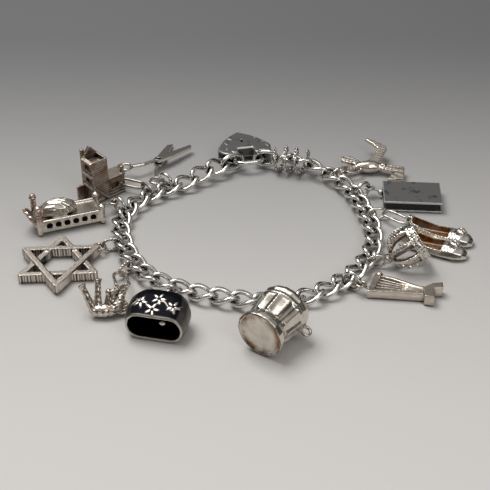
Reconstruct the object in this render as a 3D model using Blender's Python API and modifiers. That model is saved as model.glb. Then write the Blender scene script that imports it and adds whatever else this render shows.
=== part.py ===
"""Charm bracelet: a curb chain closed by a heart padlock, with a dozen silver charms lying round it.

Metres, +Z up. The origin is the middle of the wrist loop, on the surface that the bracelet lies on.
+X runs to the right and +Y away from the front of the loop, with the padlock at the back.
"""

from math import atan2, cos, hypot, pi, radians, sin

import bmesh
import bpy
from mathutils import Matrix, Vector

MM = 0.001

# Chain
# The route of the chain round the wrist loop in mm, from one leg of the shackle to the other. The third
# number is how far the safety chain or the shackle lifts it.
CHAIN_ROUTE = [
    (-3.4, 28.9, 0.0), (-9.0, 25.3, 0.7), (-15.6, 20.0, 0.0), (-22.4, 15.9, 0.0), (-28.0, 10.2, 0.0),
    (-30.7, 2.4, 0.0), (-29.9, -5.6, 0.0), (-27.2, -13.6, 0.0), (-22.0, -21.4, 0.0), (-14.2, -26.3, 0.0),
    (-4.6, -29.2, 0.0), (5.0, -30.8, 0.0), (13.4, -29.2, 0.0), (20.6, -24.6, 0.0), (26.6, -18.0, 0.0),
    (30.4, -9.8, 0.0), (31.3, -1.0, 0.0), (29.8, 8.4, 0.0), (27.2, 17.2, 0.0), (22.0, 24.2, 0.4),
    (16.6, 27.4, 1.3), (11.4, 29.4, 1.3), (5.6, 30.9, 0.0),
]
LINK_COUNT = 38
LINK_WIRE = 1.15 * MM
LINK_WIDTH = 5.4 * MM
LINK_PLAY = 0.72 * MM
LINK_TWIST = radians(-95)
END_LINKS = 4
END_ROLL = radians(35)
LINK_POINTS = 10
CHAIN_LIFT = 0.5 * MM
RING_WIRE = 0.85 * MM
RING_DIAMETER = 5.2 * MM
RING_SHIFT = 0.25 * MM
PASSING_GAP = 0.12 * MM
TABLE_GAP = 0.03 * MM
LUG_WIRE = 0.8 * MM
OVAL_WIDTH = 3.7 * MM
OVAL_LENGTH = 4.8 * MM
OVAL_TUCK = 1.8 * MM
RING_POINTS = 10

# Padlock and shackle
PADLOCK_WIDTH = 14.8 * MM
PADLOCK_LENGTH = 14.4 * MM
PADLOCK_THICKNESS = 3.2 * MM
PADLOCK_EDGE = 0.5 * MM
PADLOCK_TURN = radians(12)
PADLOCK_TILT = radians(5)
PADLOCK_NOTCH_WIDTH = 4.4 * MM
PADLOCK_NOTCH_DEPTH = 3.6 * MM
KEYHOLE_RADIUS = 0.6 * MM
SHACKLE_WIRE = 1.4 * MM
SHACKLE_SPAN = 7.2 * MM
SHACKLE_DROP = 3.4 * MM
SHACKLE_HOLD = 1.8 * MM
SHACKLE_CORNER = 1.8 * MM
SHACKLE_CATCH = 1.9 * MM
RIVET_RADIUS = 0.45 * MM
RIVET_PLAY = 0.15 * MM
EYE_WALL = 0.55 * MM
SLOT_PLAY = 0.3 * MM

# Safety chain
SAFETY_THICKNESS = 1.1 * MM
SAFETY_TURNS = 3
SAFETY_START = 0.55
SAFETY_END = 2.3

# Book
BOOK_LENGTH = 14.8 * MM
BOOK_DEPTH = 10.2 * MM
BOOK_THICKNESS = 3.0 * MM
BOOK_COVER = 0.55 * MM
BOOK_PAGE_INSET = 0.6 * MM
BOOK_BALL = 0.85 * MM

# Star
STAR_RADIUS = 10.5 * MM
STAR_BAR = 1.1 * MM
STAR_HEIGHT = 2.3 * MM
STAR_STEP = 0.4 * MM

# Bell
BELL_WIDTH = 14.2 * MM
BELL_HEIGHT = 8.4 * MM
BELL_LENGTH = 9.0 * MM
BELL_WALL = 0.7 * MM
CLAPPER_RADIUS = 1.0 * MM

# Pot
POT_BASE_RADIUS = 5.5 * MM
POT_WAIST_RADIUS = 4.6 * MM
POT_RIM_RADIUS = 5.9 * MM
POT_RIM_PLACE = 9.3 * MM
POT_RIBS = 12
POT_RIB_RADIUS = 0.8 * MM
POT_LOOP_ANGLE = radians(25)

# Crown
CROWN_RADIUS = 4.8 * MM
CROWN_BAND = 2.2 * MM
CROWN_WALL = 0.7 * MM
CROWN_HEIGHT = 9.4 * MM
CROWN_ARCHES = 8
CROWN_STRAP = 0.9 * MM
CROWN_ORB = 1.25 * MM
CROWN_LEAN = radians(30)

# Slippers
SHOE_LENGTH = 16.8 * MM
SHOE_WIDTH = 6.2 * MM
SHOE_HEIGHT = 4.8 * MM
SHOE_WALL = 0.7 * MM
SHOE_SPACING = 5.9 * MM
ROSETTE_RADIUS = 1.5 * MM

# Harp
HARP_LENGTH = 13.2 * MM
HARP_WIDTH = 7.2 * MM
HARP_SLANT = 2.5 * MM
HARP_THICKNESS = 2.2 * MM
HARP_STRINGS = 5
HARP_STRING = 0.5 * MM

# Bed
BED_LENGTH = 17.0 * MM
BED_WIDTH = 7.0 * MM
BED_FLOOR_HEIGHT = 0.7 * MM
BED_RAIL_HEIGHT = 3.3 * MM
BED_RAIL = 0.8 * MM
BED_HOLES = 6
BED_HOLE_RADIUS = 0.75 * MM
BED_POST = 0.75 * MM
BED_HEAD_HEIGHT = 7.0 * MM
BED_FOOT_HEIGHT = 4.2 * MM
BED_HEAD_LEAN = radians(32)
BED_QUILT = 2.9 * MM

# House
HOUSE_TOWER_WIDTH = 4.7 * MM
HOUSE_TOWER_DEPTH = 4.9 * MM
HOUSE_TOWER_HEIGHT = 11.8 * MM
HOUSE_WALL = 0.6 * MM
HOUSE_WING_LENGTH = 5.0 * MM
HOUSE_WING_HEIGHT = 5.0 * MM
HOUSE_BASE = 0.6 * MM
HOUSE_POST = 0.9 * MM
HOUSE_DOOR = 2.8 * MM

# Horse
HORSE_BODY = 1.55 * MM
HORSE_BODY_LENGTH = 7.0 * MM

# Bird
BIRD_BODY = 1.8 * MM
BIRD_BODY_LENGTH = 8.0 * MM
BIRD_HEAD = 1.15 * MM
BIRD_WING = 0.9 * MM
BIRD_ROLL = radians(10)

# Scissors
SCISSORS_BLADE = 12.4 * MM
SCISSORS_BLADE_WIDTH = 2.4 * MM
SCISSORS_PLATE = 0.8 * MM
SCISSORS_HANDLE = 9.9 * MM
SCISSORS_LOOP = 1.8 * MM
SCISSORS_WIRE = 0.9 * MM
SCISSORS_PIN = 0.5 * MM
SCISSORS_GAP = 0.25 * MM
SCISSORS_OPENING = radians(33)
SCISSORS_PIVOT_HEIGHT = 1.3 * MM
SCISSORS_TILT = radians(4.2)

# Where each charm lies: the link that carries it, its place on the table in mm, its heading in degrees,
# and how far its jump ring is turned from straight outwards
CHARM_PLACES = {
    "bird": dict(link=34, x=33.5, y=29.0, heading=0, turn=-12),
    "book": dict(link=32, x=43.1, y=13.8, heading=-4, turn=20),
    "shoes": dict(link=30, x=46.6, y=-5.6, heading=-24),
    "crown": dict(link=26, x=41.1, y=-13.8, heading=192),
    "harp": dict(link=24, x=27.6, y=-27.4, heading=-5, turn=12),
    "pot": dict(link=21, x=2.9, y=-47.3, heading=-34),
    "bell": dict(link=16, x=-19.6, y=-42.6, heading=-13),
    "horse": dict(link=13, x=-31.2, y=-34.0, heading=5, turn=20),
    "star": dict(link=11, x=-43.6, y=-15.7, heading=3.5),
    "bed": dict(link=8, x=-44.2, y=4.0, heading=21.5, turn=-27),
    "house": dict(link=6, x=-38.6, y=12.8, heading=42),
    "scissors": dict(link=5, x=-23.5, y=31.2, heading=61.5, turn=22),
}

BRIGHT = ("polished_silver", (0.80, 0.78, 0.75), 0.16)
WORN = ("worn_silver", (0.70, 0.67, 0.63), 0.28)
DARK = ("oxidised_silver", (0.36, 0.33, 0.30), 0.34)
PLATE = ("brushed_silver", (0.46, 0.46, 0.46), 0.22)


def collection(name):
    made = bpy.data.collections.new(name)
    bpy.context.scene.collection.children.link(made)
    return made


def clear_scene():
    for obj in list(bpy.data.objects):
        bpy.data.objects.remove(obj, do_unlink=True)


def metal(finish):
    name, colour, roughness = finish
    made = bpy.data.materials.get(name)
    if made:
        return made
    made = bpy.data.materials.new(name)
    made.use_nodes = True
    shader = made.node_tree.nodes["Principled BSDF"]
    shader.inputs["Base Color"].default_value = (*colour, 1)
    shader.inputs["Metallic"].default_value = 1
    shader.inputs["Roughness"].default_value = roughness
    return made


def object_of(name, mesh, matrix, home):
    obj = bpy.data.objects.new(name, mesh)
    obj.matrix_world = matrix
    home.objects.link(obj)
    return obj


def piece_of(bm, matrix=None):
    """A bmesh as a loose helper object, ready to be joined to others."""
    bmesh.ops.recalc_face_normals(bm, faces=bm.faces)
    mesh = bpy.data.meshes.new("piece")
    bm.to_mesh(mesh)
    bm.free()
    return object_of("piece", mesh, matrix or Matrix(), HELPERS)


def box(size, centre, matrix=None, turn=0.0, taper=1.0):
    """A box whose top is taper times its base in X and Y."""
    bm = bmesh.new()
    bmesh.ops.create_cube(bm, size=1)
    for vert in bm.verts:
        shrink = taper if vert.co.z > 0 else 1
        vert.co = Vector((vert.co.x * size[0] * shrink, vert.co.y * size[1] * shrink, vert.co.z * size[2]))
    bm.transform(Matrix.Translation(centre) @ Matrix.Rotation(turn, 4, "Z"))
    return piece_of(bm, matrix)


def rod(start, end, radius, matrix=None, end_radius=None, sides=10):
    """A round rod or cone between two points."""
    start, end = Vector(start), Vector(end)
    bm = bmesh.new()
    last = radius if end_radius is None else end_radius
    length = (end - start).length
    bmesh.ops.create_cone(bm, cap_ends=True, segments=sides, radius1=radius, radius2=last, depth=length)
    aim = (end - start).to_track_quat("Z", "Y").to_matrix().to_4x4()
    bm.transform(Matrix.Translation((start + end) / 2) @ aim)
    return piece_of(bm, matrix)


def ball(radii, centre, matrix=None, turn=None, segments=10, rings=6):
    bm = bmesh.new()
    bmesh.ops.create_uvsphere(bm, u_segments=segments, v_segments=rings, radius=1)
    bm.transform(Matrix.Translation(centre) @ (turn or Matrix()) @ Matrix.Diagonal((*radii, 1)))
    return piece_of(bm, matrix)


def wire(points, radius, matrix=None, closed=False, sides=6):
    """A wire through the points, made from a curve and turned into a mesh with welded caps."""
    curve = bpy.data.curves.new("wire", "CURVE")
    curve.dimensions = "3D"
    curve.bevel_depth = radius
    curve.bevel_resolution = (sides - 4) // 2
    curve.use_fill_caps = True
    spline = curve.splines.new("POLY")
    spline.points.add(len(points) - 1)
    for point, co in zip(spline.points, points):
        point.co = (*co, 1)
    spline.use_cyclic_u = closed
    holder = object_of("wire", curve, Matrix(), HELPERS)
    graph = bpy.context.evaluated_depsgraph_get()
    mesh = bpy.data.meshes.new_from_object(holder.evaluated_get(graph))
    bpy.data.objects.remove(holder)
    bm = bmesh.new()
    bm.from_mesh(mesh)
    bmesh.ops.remove_doubles(bm, verts=bm.verts, dist=1e-7)
    bpy.data.meshes.remove(mesh)
    return piece_of(bm, matrix)


def slab(outline, thickness, base, matrix=None, taper=1.0):
    """A flat plate of the given outline; its top is taper times its base about the outline's middle."""
    bm = bmesh.new()
    middle = Vector((sum(x for x, _ in outline), sum(y for _, y in outline))) / len(outline)
    low = [bm.verts.new((x, y, base)) for x, y in outline]
    shrunk = [middle + (Vector(point) - middle) * taper for point in outline]
    top = [bm.verts.new((x, y, base + thickness)) for x, y in shrunk]
    bm.faces.new(low[::-1])
    bm.faces.new(top)
    for i, vert in enumerate(low):
        after = (i + 1) % len(low)
        bm.faces.new((vert, low[after], top[after], top[i]))
    return piece_of(bm, matrix)


def circle(radius, count, centre=(0, 0), start=0.0, end=2 * pi):
    """Points round an arc; a whole circle leaves out its last point."""
    steps = count if end - start >= 2 * pi - 1e-6 else count - 1
    turns = [start + (end - start) * i / steps for i in range(count)]
    return [(centre[0] + radius * cos(a), centre[1] + radius * sin(a)) for a in turns]


def hoop(radius, thickness, centre, across, matrix=None, points=12, sides=6):
    """A round ring: radius is its centreline's, and across is the direction of its axis."""
    turn = Vector(across).to_track_quat("Z", "Y").to_matrix()
    route = [Vector(centre) + turn @ Vector((x, y, 0)) for x, y in circle(radius, points)]
    return wire(route, thickness / 2, matrix, closed=True, sides=sides)


def lathe(profile, matrix=None, sides=20):
    """A turned solid about Z from (radius, height) pairs that start and end on the axis."""
    bm = bmesh.new()
    verts = [bm.verts.new((radius, 0, height)) for radius, height in profile]
    edges = [bm.edges.new(pair) for pair in zip(verts, verts[1:])]
    bmesh.ops.spin(
        bm, geom=verts + edges, cent=(0, 0, 0), axis=(0, 0, 1), angle=2 * pi, steps=sides, use_merge=True
    )
    bmesh.ops.remove_doubles(bm, verts=bm.verts, dist=1e-7)
    return piece_of(bm, matrix)


def ring_of(profile, matrix=None, sides=20):
    """A turned ring about Z from a closed run of (radius, height) pairs."""
    bm = bmesh.new()
    verts = [bm.verts.new((radius, 0, height)) for radius, height in profile]
    edges = [bm.edges.new(pair) for pair in zip(verts, verts[1:] + verts[:1])]
    bmesh.ops.spin(
        bm, geom=verts + edges, cent=(0, 0, 0), axis=(0, 0, 1), angle=2 * pi, steps=sides, use_merge=True
    )
    bmesh.ops.remove_doubles(bm, verts=bm.verts, dist=1e-7)
    return piece_of(bm, matrix)


def loft(sections, matrix=None):
    """A solid through like sections, each a list of points, with a flat face at both ends."""
    bm = bmesh.new()
    rows = [[bm.verts.new(point) for point in section] for section in sections]
    bm.faces.new(rows[0][::-1])
    bm.faces.new(rows[-1])
    for row, after in zip(rows, rows[1:]):
        for i, vert in enumerate(row):
            j = (i + 1) % len(row)
            bm.faces.new((vert, row[j], after[j], after[i]))
    return piece_of(bm, matrix)


def boolean(obj, other, operation):
    cut = obj.modifiers.new(operation.lower(), "BOOLEAN")
    cut.operation = operation
    cut.solver = "EXACT"
    cut.object = other
    other.hide_render = True
    other.display_type = "WIRE"


def shaped(pieces, cuts=()):
    """The pieces joined into one solid, less the cuts, as a loose helper object."""
    whole = pieces[0]
    for other in pieces[1:]:
        boolean(whole, other, "UNION")
    for other in cuts:
        boolean(whole, other, "DIFFERENCE")
    graph = bpy.context.evaluated_depsgraph_get()
    mesh = bpy.data.meshes.new_from_object(whole.evaluated_get(graph))
    mesh.transform(whole.matrix_world)
    for other in [*pieces, *cuts]:
        bpy.data.objects.remove(other)
    bm = bmesh.new()
    bm.from_mesh(mesh)
    bmesh.ops.triangulate(bm, faces=bm.faces)
    bm.to_mesh(mesh)
    bm.free()
    return object_of("shape", mesh, Matrix(), HELPERS)


def fuse(name, finish, pieces, cuts=(), origin=None):
    """One solid from overlapping pieces, less the cuts, with its own finish and its own origin."""
    whole = shaped(pieces, cuts)
    mesh = whole.data
    bpy.data.objects.remove(whole)
    home = origin or Matrix()
    mesh.transform(home.inverted())
    return finished(name, finish, mesh, home)


def finished(name, finish, mesh, matrix):
    """Welds what the joints left and puts the piece among the parts."""
    bm = bmesh.new()
    bm.from_mesh(mesh)
    bmesh.ops.remove_doubles(bm, verts=bm.verts, dist=2e-6)
    bmesh.ops.dissolve_degenerate(bm, edges=bm.edges, dist=1e-6)
    bm.to_mesh(mesh)
    bm.free()
    mesh.name = name
    mesh.materials.clear()
    mesh.materials.append(metal(finish))
    mesh.shade_smooth()
    mesh.set_sharp_from_angle(angle=radians(38))
    return object_of(name, mesh, matrix, PARTS)


def smooth_route(points, steps=16):
    """Points along a smooth curve through the given ones."""
    points = [Vector(p) for p in points]
    ends = [2 * points[0] - points[1], *points, 2 * points[-1] - points[-2]]
    route = []
    for before, a, b, after in zip(ends, ends[1:], ends[2:], ends[3:]):
        for i in range(steps):
            t = i / steps
            pull = (b - before) * t + (2 * before - 5 * a + 4 * b - after) * t**2
            route.append((2 * a + pull + (3 * a - before - 3 * b + after) * t**3) / 2)
    return route + [points[-1]]


def along(route, distance):
    """The point and direction at a distance along the route."""
    for a, b in zip(route, route[1:]):
        step = (b - a).length
        if distance <= step:
            return a + (b - a) * (distance / step), (b - a).normalized()
        distance -= step
    return route[-1], (route[-1] - route[-2]).normalized()


def link_route(length, twist):
    """The centreline of one curb link, with its length along X and its side wires twisted about it."""
    a = (length - LINK_WIRE) / 2
    b = (LINK_WIDTH - LINK_WIRE) / 2
    points = []
    for x, y in circle(1, LINK_POINTS, start=pi / LINK_POINTS, end=2 * pi + pi / LINK_POINTS):
        turn = twist / 2 * x
        points.append(Vector((a * x, b * y * cos(turn), b * y * sin(turn))))
    return points


def make_chain():
    """Thirty-eight links; the last ones at each end roll upright, to hold the shackle between them."""
    route = smooth_route([(x * MM, y * MM, z * MM) for x, y, z in CHAIN_ROUTE])
    pitch = sum((b - a).length for a, b in zip(route, route[1:])) / (LINK_COUNT - 1)
    length = pitch + 2 * LINK_WIRE + LINK_PLAY
    meshes = {}
    places = []
    for k in range(LINK_COUNT):
        from_end = min(k, LINK_COUNT - 1 - k)
        side = -1 if k < LINK_COUNT / 2 else 1
        twist, roll = LINK_TWIST, 0
        if from_end == 0:
            twist, roll = 0, pi / 2
        elif from_end <= END_LINKS:
            roll = side * END_ROLL * (END_LINKS - from_end + 0.5) / (END_LINKS - 0.5)
        centreline = link_route(length, twist)
        turned = Matrix.Rotation(roll, 4, "X")
        reach = max((turned @ point).z for point in centreline) + LINK_WIRE / 2
        point, heading = along(route, k * pitch)
        height = point.z + reach + CHAIN_LIFT
        turn = Matrix.Rotation(atan2(heading.y, heading.x), 4, "Z")
        level = Matrix.Translation((point.x, point.y, height)) @ turn
        slope = Matrix.Rotation(-atan2(heading.z, hypot(heading.x, heading.y)), 4, "Y")
        name = f"link_{k + 1:02d}"
        if twist not in meshes:
            loop = wire(centreline, LINK_WIRE / 2, closed=True)
            meshes[twist] = loop.data
            bpy.data.objects.remove(loop)
            finished(name, BRIGHT, meshes[twist], level @ slope @ turned)
        else:
            object_of(name, meshes[twist], level @ slope @ turned, PARTS)
        places.append(level)
    return places


def link_side():
    """How far the outer wire of a link lies from the chain's middle."""
    return (LINK_WIDTH - LINK_WIRE) / 2


def charm_frame(name):
    """A charm's own frame: on the table, turned to its heading."""
    place = CHARM_PLACES[name]
    at = Matrix.Translation((place["x"] * MM, place["y"] * MM, 0))
    return at @ Matrix.Rotation(radians(place["heading"]), 4, "Z")


def settled(pieces):
    """Moves the pieces together until their lowest point rests on the table, and gives the move."""
    low = min((piece.matrix_world @ vert.co).z for piece in pieces for vert in piece.data.vertices)
    move = Matrix.Translation((0, 0, -low))
    for piece in pieces:
        piece.matrix_world = move @ piece.matrix_world
    return move


def oval(start, end, upright, thickness=LUG_WIRE, width=OVAL_WIDTH):
    """A long soldered ring with round ends, whose centreline runs from start to end, standing or lying."""
    run = end - start
    ahead = run.normalized()
    up = (Vector((0, 0, 1)) - ahead * ahead.z).normalized()
    spread = up if upright else ahead.cross(up)
    rise = (width - thickness) / 2
    points = []
    for side, first in ((end - ahead * rise, -pi / 2), (start + ahead * rise, pi / 2)):
        for x, y in circle(rise, RING_POINTS // 2, (0, 0), first, first + pi):
            points.append(side + ahead * x + spread * y)
    return wire(points, thickness / 2, closed=True)


def soldered_rings(name, end, count=1):
    """Rings from round the outer wire of a link to the charm's end, each turned across the last one."""
    place = CHARM_PLACES[name]
    link = LINKS[place["link"] - 1]
    wire_spot = link @ Vector((0, -link_side(), 0))
    if count == 1:
        return [oval(wire_spot - (end - wire_spot).normalized() * OVAL_TUCK, end, True)]
    outward = Matrix.Rotation(radians(place.get("turn", 0)), 3, "Z") @ -link.to_3x3().col[1]
    joint = wire_spot + outward * (OVAL_LENGTH - OVAL_TUCK)
    rings = [oval(wire_spot - outward * OVAL_TUCK, joint, True)]
    step = (end - joint) / (count - 1)
    for k in range(count - 1):
        back = step.normalized() * LUG_WIRE * 0.8
        rings.append(oval(joint + step * k - back, joint + step * (k + 1), k % 2 == 1))
    return rings


def ring_frame(name):
    """The frame of a round jump ring in its link: X outwards from the wrist, Z up, Y its axis."""
    place = CHARM_PLACES[name]
    link = LINKS[place["link"] - 1]
    wire_spot = link @ Vector((0, -link_side(), 0))
    outward = atan2(link[1][0], link[0][0]) - pi / 2 + radians(place.get("turn", 0))
    at = Matrix.Translation((wire_spot.x, wire_spot.y, RING_DIAMETER / 2 + TABLE_GAP))
    return at @ Matrix.Rotation(outward, 4, "Z") @ Matrix.Translation((RING_SHIFT, 0, 0))


def ring_radius():
    return (RING_DIAMETER - RING_WIRE) / 2


def jump_ring(charm):
    route = [Vector((x, 0, z)) for x, z in circle(ring_radius(), RING_POINTS + 2)]
    ring = wire(route, RING_WIRE / 2, closed=True)
    mesh = ring.data
    bpy.data.objects.remove(ring)
    finished(f"{charm}_ring", BRIGHT, mesh, ring_frame(charm))


def eye_radius():
    """The centreline radius of a charm's own eye, which its jump ring passes through."""
    return RING_WIRE / 2 + LUG_WIRE / 2 + 2 * PASSING_GAP


def eye_and_stem(charm, target):
    """The eye round a jump ring, and the stem that joins it to the charm at the target."""
    reach = ring_radius() + eye_radius() - LUG_WIRE / 2 - RING_WIRE / 2 - PASSING_GAP
    spot = ring_frame(charm) @ Vector((reach, 0, 0))
    towards = (target - spot).normalized()
    ring = hoop(eye_radius(), LUG_WIRE, spot, (0, 0, 1), points=10)
    return [ring, rod(spot + towards * eye_radius(), target, LUG_WIRE / 2, sides=8)]


# Padlock
def padlock_frame():
    """Centred between the lobes, +Y to the point, lifted so that the end links hold the shackle."""
    middle = (LINKS[0].translation + LINKS[-1].translation) / 2
    turn = Matrix.Rotation(PADLOCK_TURN, 4, "Z")
    offset = turn @ Vector((0, lobe_radius() + SHACKLE_HOLD, 0))
    tilt = Matrix.Rotation(-PADLOCK_TILT, 4, "X")
    tip_drop = (PADLOCK_LENGTH - lobe_radius()) * sin(PADLOCK_TILT)
    place = Vector((middle.x, middle.y, tip_drop + TABLE_GAP)) + offset
    return Matrix.Translation(place) @ turn @ tilt


def lobe_radius():
    return PADLOCK_WIDTH / 4 + 0.05 * MM


def heart_outline():
    """A heart from its notch round one lobe to the point, then the same mirrored."""
    radius = lobe_radius()
    centre = PADLOCK_WIDTH / 2 - radius
    tip = PADLOCK_LENGTH - radius
    notch = PADLOCK_NOTCH_WIDTH / 2
    start = -pi + atan2((radius**2 - (centre - notch) ** 2) ** 0.5, centre - notch)
    side = [(notch, PADLOCK_NOTCH_DEPTH - radius), *circle(radius, 10, (centre, 0), start, radians(36))]
    shoulder = side[-1]
    for share in (0.3, 0.6, 0.88):
        bulge = sin(pi * share) * 0.6 * MM
        side.append((shoulder[0] * (1 - share) + bulge, shoulder[1] + (tip - shoulder[1]) * share + bulge))
    return side + [(0, tip + 0.1 * MM)] + [(-x, y) for x, y in side[::-1]]


def rivet_place():
    return -SHACKLE_SPAN / 2, -lobe_radius() + 1.7 * MM


def free_leg_top():
    """How far the shackle's free leg reaches into its lobe."""
    return -lobe_radius() + SHACKLE_CATCH


def make_padlock():
    frame = padlock_frame()
    middle = PADLOCK_THICKNESS / 2
    bottom = -lobe_radius() - 2 * MM
    rivet_x, rivet_y = rivet_place()
    slot_height = SHACKLE_WIRE + 2 * SLOT_PLAY
    eye = RIVET_RADIUS + RIVET_PLAY + EYE_WALL
    body = slab(heart_outline(), PADLOCK_THICKNESS, 0, frame)
    bevel = body.modifiers.new("edge", "BEVEL")
    bevel.width = PADLOCK_EDGE
    bevel.segments = 2
    bevel.limit_method = "ANGLE"
    bevel.angle_limit = radians(50)
    left = -PADLOCK_WIDTH
    top = rivet_y + eye + SLOT_PLAY
    inner = rivet_x + eye + SLOT_PLAY
    hinge_size = (inner - left, top - bottom, slot_height)
    hinge_slot = box(hinge_size, ((inner + left) / 2, (top + bottom) / 2, middle), frame)
    catch_top = free_leg_top() + SLOT_PLAY
    catch_size = (SHACKLE_WIRE + 3 * SLOT_PLAY, catch_top - bottom, slot_height)
    catch_slot = box(catch_size, (SHACKLE_SPAN / 2, (catch_top + bottom) / 2, middle), frame)
    key_y = PADLOCK_LENGTH * 0.36
    hole = rod((0, key_y, middle), (0, key_y, middle * 3), KEYHOLE_RADIUS, frame, sides=10)
    slit_size = (KEYHOLE_RADIUS * 0.9, KEYHOLE_RADIUS * 3, middle * 2)
    slit = box(slit_size, (0, key_y - KEYHOLE_RADIUS * 1.6, middle * 2), frame)
    pin_low = (rivet_x, rivet_y, 0.3 * MM)
    pin_high = (rivet_x, rivet_y, PADLOCK_THICKNESS + 0.15 * MM)
    pin = rod(pin_low, pin_high, RIVET_RADIUS, frame)
    whole = shaped([body], [hinge_slot, catch_slot, hole, slit])
    fuse("padlock_body", PLATE, [whole, pin], origin=frame)


def make_shackle():
    frame = padlock_frame()
    middle = PADLOCK_THICKNESS / 2
    half = SHACKLE_WIRE / 2
    rivet_x, rivet_y = rivet_place()
    low = -lobe_radius() - SHACKLE_DROP
    corner = SHACKLE_CORNER
    side = SHACKLE_SPAN / 2
    left = circle(corner, 4, (corner - side, low + corner), pi, 1.5 * pi)
    right = circle(corner, 4, (side - corner, low + corner), 1.5 * pi, 2 * pi)
    flat = [(rivet_x, rivet_y - RIVET_RADIUS - RIVET_PLAY * 2), *left, *right, (side, free_leg_top())]
    loop = wire([(x, y, middle) for x, y in flat], half, frame, sides=8)
    outer = RIVET_RADIUS + RIVET_PLAY + EYE_WALL
    tall = half * 1.12
    eye = rod((rivet_x, rivet_y, middle - tall), (rivet_x, rivet_y, middle + tall), outer, frame, sides=14)
    bore = RIVET_RADIUS + RIVET_PLAY
    hole = rod((rivet_x, rivet_y, -middle), (rivet_x, rivet_y, middle * 3), bore, frame, sides=12)
    pivot = frame @ Matrix.Translation((rivet_x, rivet_y, middle))
    fuse("padlock_shackle", BRIGHT, [eye, loop], [hole], pivot)


# Safety chain
def make_safety_chain():
    """A fine chain wound over the links beside the padlock, kept as the tube that its own links fill."""
    radius = SAFETY_THICKNESS / 2
    side = LINK_WIDTH / 2 + PASSING_GAP + radius
    route = [LINKS[-1 - k].translation for k in range(4)]
    points = []
    count = round(SAFETY_TURNS * 9) + 1
    for i in range(count):
        share = i / (count - 1)
        swing = share * SAFETY_TURNS * 2 * pi
        place = SAFETY_START + (SAFETY_END - SAFETY_START) * share
        k = int(place)
        spot = route[k].lerp(route[k + 1], place - k)
        across = (route[k + 1] - route[k]).normalized().cross(Vector((0, 0, 1)))
        lift = max(spot.z + cos(swing) * side * 0.92, radius + TABLE_GAP)
        points.append((spot.x + across.x * side * sin(swing), spot.y + across.y * side * sin(swing), lift))
    fuse("safety_chain", WORN, [wire(points, radius)])


# Book
def make_book():
    """A closed book with its page edges set back between the covers, and a ball with an eye at one side."""
    jump_ring("book")
    frame = charm_frame("book")
    inset = BOOK_PAGE_INSET
    half = BOOK_THICKNESS / 2
    cover = (BOOK_LENGTH, BOOK_DEPTH, BOOK_COVER)
    low = box(cover, (0, 0, BOOK_COVER / 2), frame)
    high = box(cover, (0, 0, BOOK_THICKNESS - BOOK_COVER / 2), frame)
    inner = BOOK_THICKNESS - BOOK_COVER
    pages = box((BOOK_LENGTH - 2 * inset, BOOK_DEPTH - 2 * inset, inner), (0, 0, half), frame)
    spine = box((BOOK_LENGTH - 0.1 * MM, 2 * inset, inner), (0, BOOK_DEPTH / 2 - 1.1 * inset, half), frame)
    corner = Vector((-BOOK_LENGTH / 2, BOOK_DEPTH * 0.16, half))
    knob = ball((BOOK_BALL,) * 3, corner - Vector((BOOK_BALL * 0.5, 0, 0)), frame, segments=8, rings=6)
    lug = eye_and_stem("book", frame @ (corner + Vector((BOOK_BALL * 1.5, 0, 0))))
    fuse("book", PLATE, [low, high, pages, spine, knob, *lug])


# Star
def make_star():
    """Two triangular frames of flat bar, one laid over the other, with rings soldered to one tip."""
    frame = charm_frame("star")
    frames = []
    for up in (0, 1):
        turn = pi / 6 + pi / 3 * up
        tips = [turn + k * 2 * pi / 3 for k in range(3)]
        tip_half = 0.035
        sides = [tip + turn for tip in tips for turn in (-tip_half, tip_half)]
        outer = [(STAR_RADIUS * cos(a), STAR_RADIUS * sin(a)) for a in sides]
        inner = STAR_RADIUS - 2 * STAR_BAR
        hole = [(inner * cos(a), inner * sin(a)) for a in tips]
        bar = slab(outer, STAR_HEIGHT, (1 - up) * STAR_STEP, frame)
        gap = slab(hole, 4 * STAR_HEIGHT, -STAR_HEIGHT, frame)
        frames.append(shaped([bar], [gap]))
    tip = Vector((cos(pi / 6), sin(pi / 6), 0)) * (STAR_RADIUS - 1.3 * STAR_BAR)
    end = frame @ (tip + Vector((0, 0, STAR_HEIGHT - 0.3 * MM)))
    fuse("star", WORN, [*frames, *soldered_rings("star", end, 2)])


# Bell
def rounded_section(width, height, corner, along_y, centre_z):
    """A rounded rectangle across Y, as sixteen points."""
    points = []
    for k, (sx, sz) in enumerate(((1, 1), (-1, 1), (-1, -1), (1, -1))):
        centre = (sx * (width / 2 - corner), sz * (height / 2 - corner))
        for x, z in circle(corner, 4, centre, k * pi / 2, (k + 1) * pi / 2):
            points.append((x, along_y, centre_z + z))
    return points


def bell_sections(wall=0.0):
    """Sections from the mouth to the closed end: place along, width, height and height of the middle."""
    table = [
        (0.0, 0.9, 0.78), (0.3, 1.0, 0.92), (0.65, 0.97, 1.0), (0.88, 0.82, 0.92), (1.0, 0.55, 0.62),
    ]
    rows = []
    for share, wide, high in table:
        width = BELL_WIDTH * wide - 2 * wall
        height = BELL_HEIGHT * high - 2 * wall
        middle = BELL_HEIGHT * (high / 2 + (0 if share < 0.8 else (1 - high) * 0.4))
        rows.append(rounded_section(width, height, height * 0.44, share * BELL_LENGTH, middle))
    return rows


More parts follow.
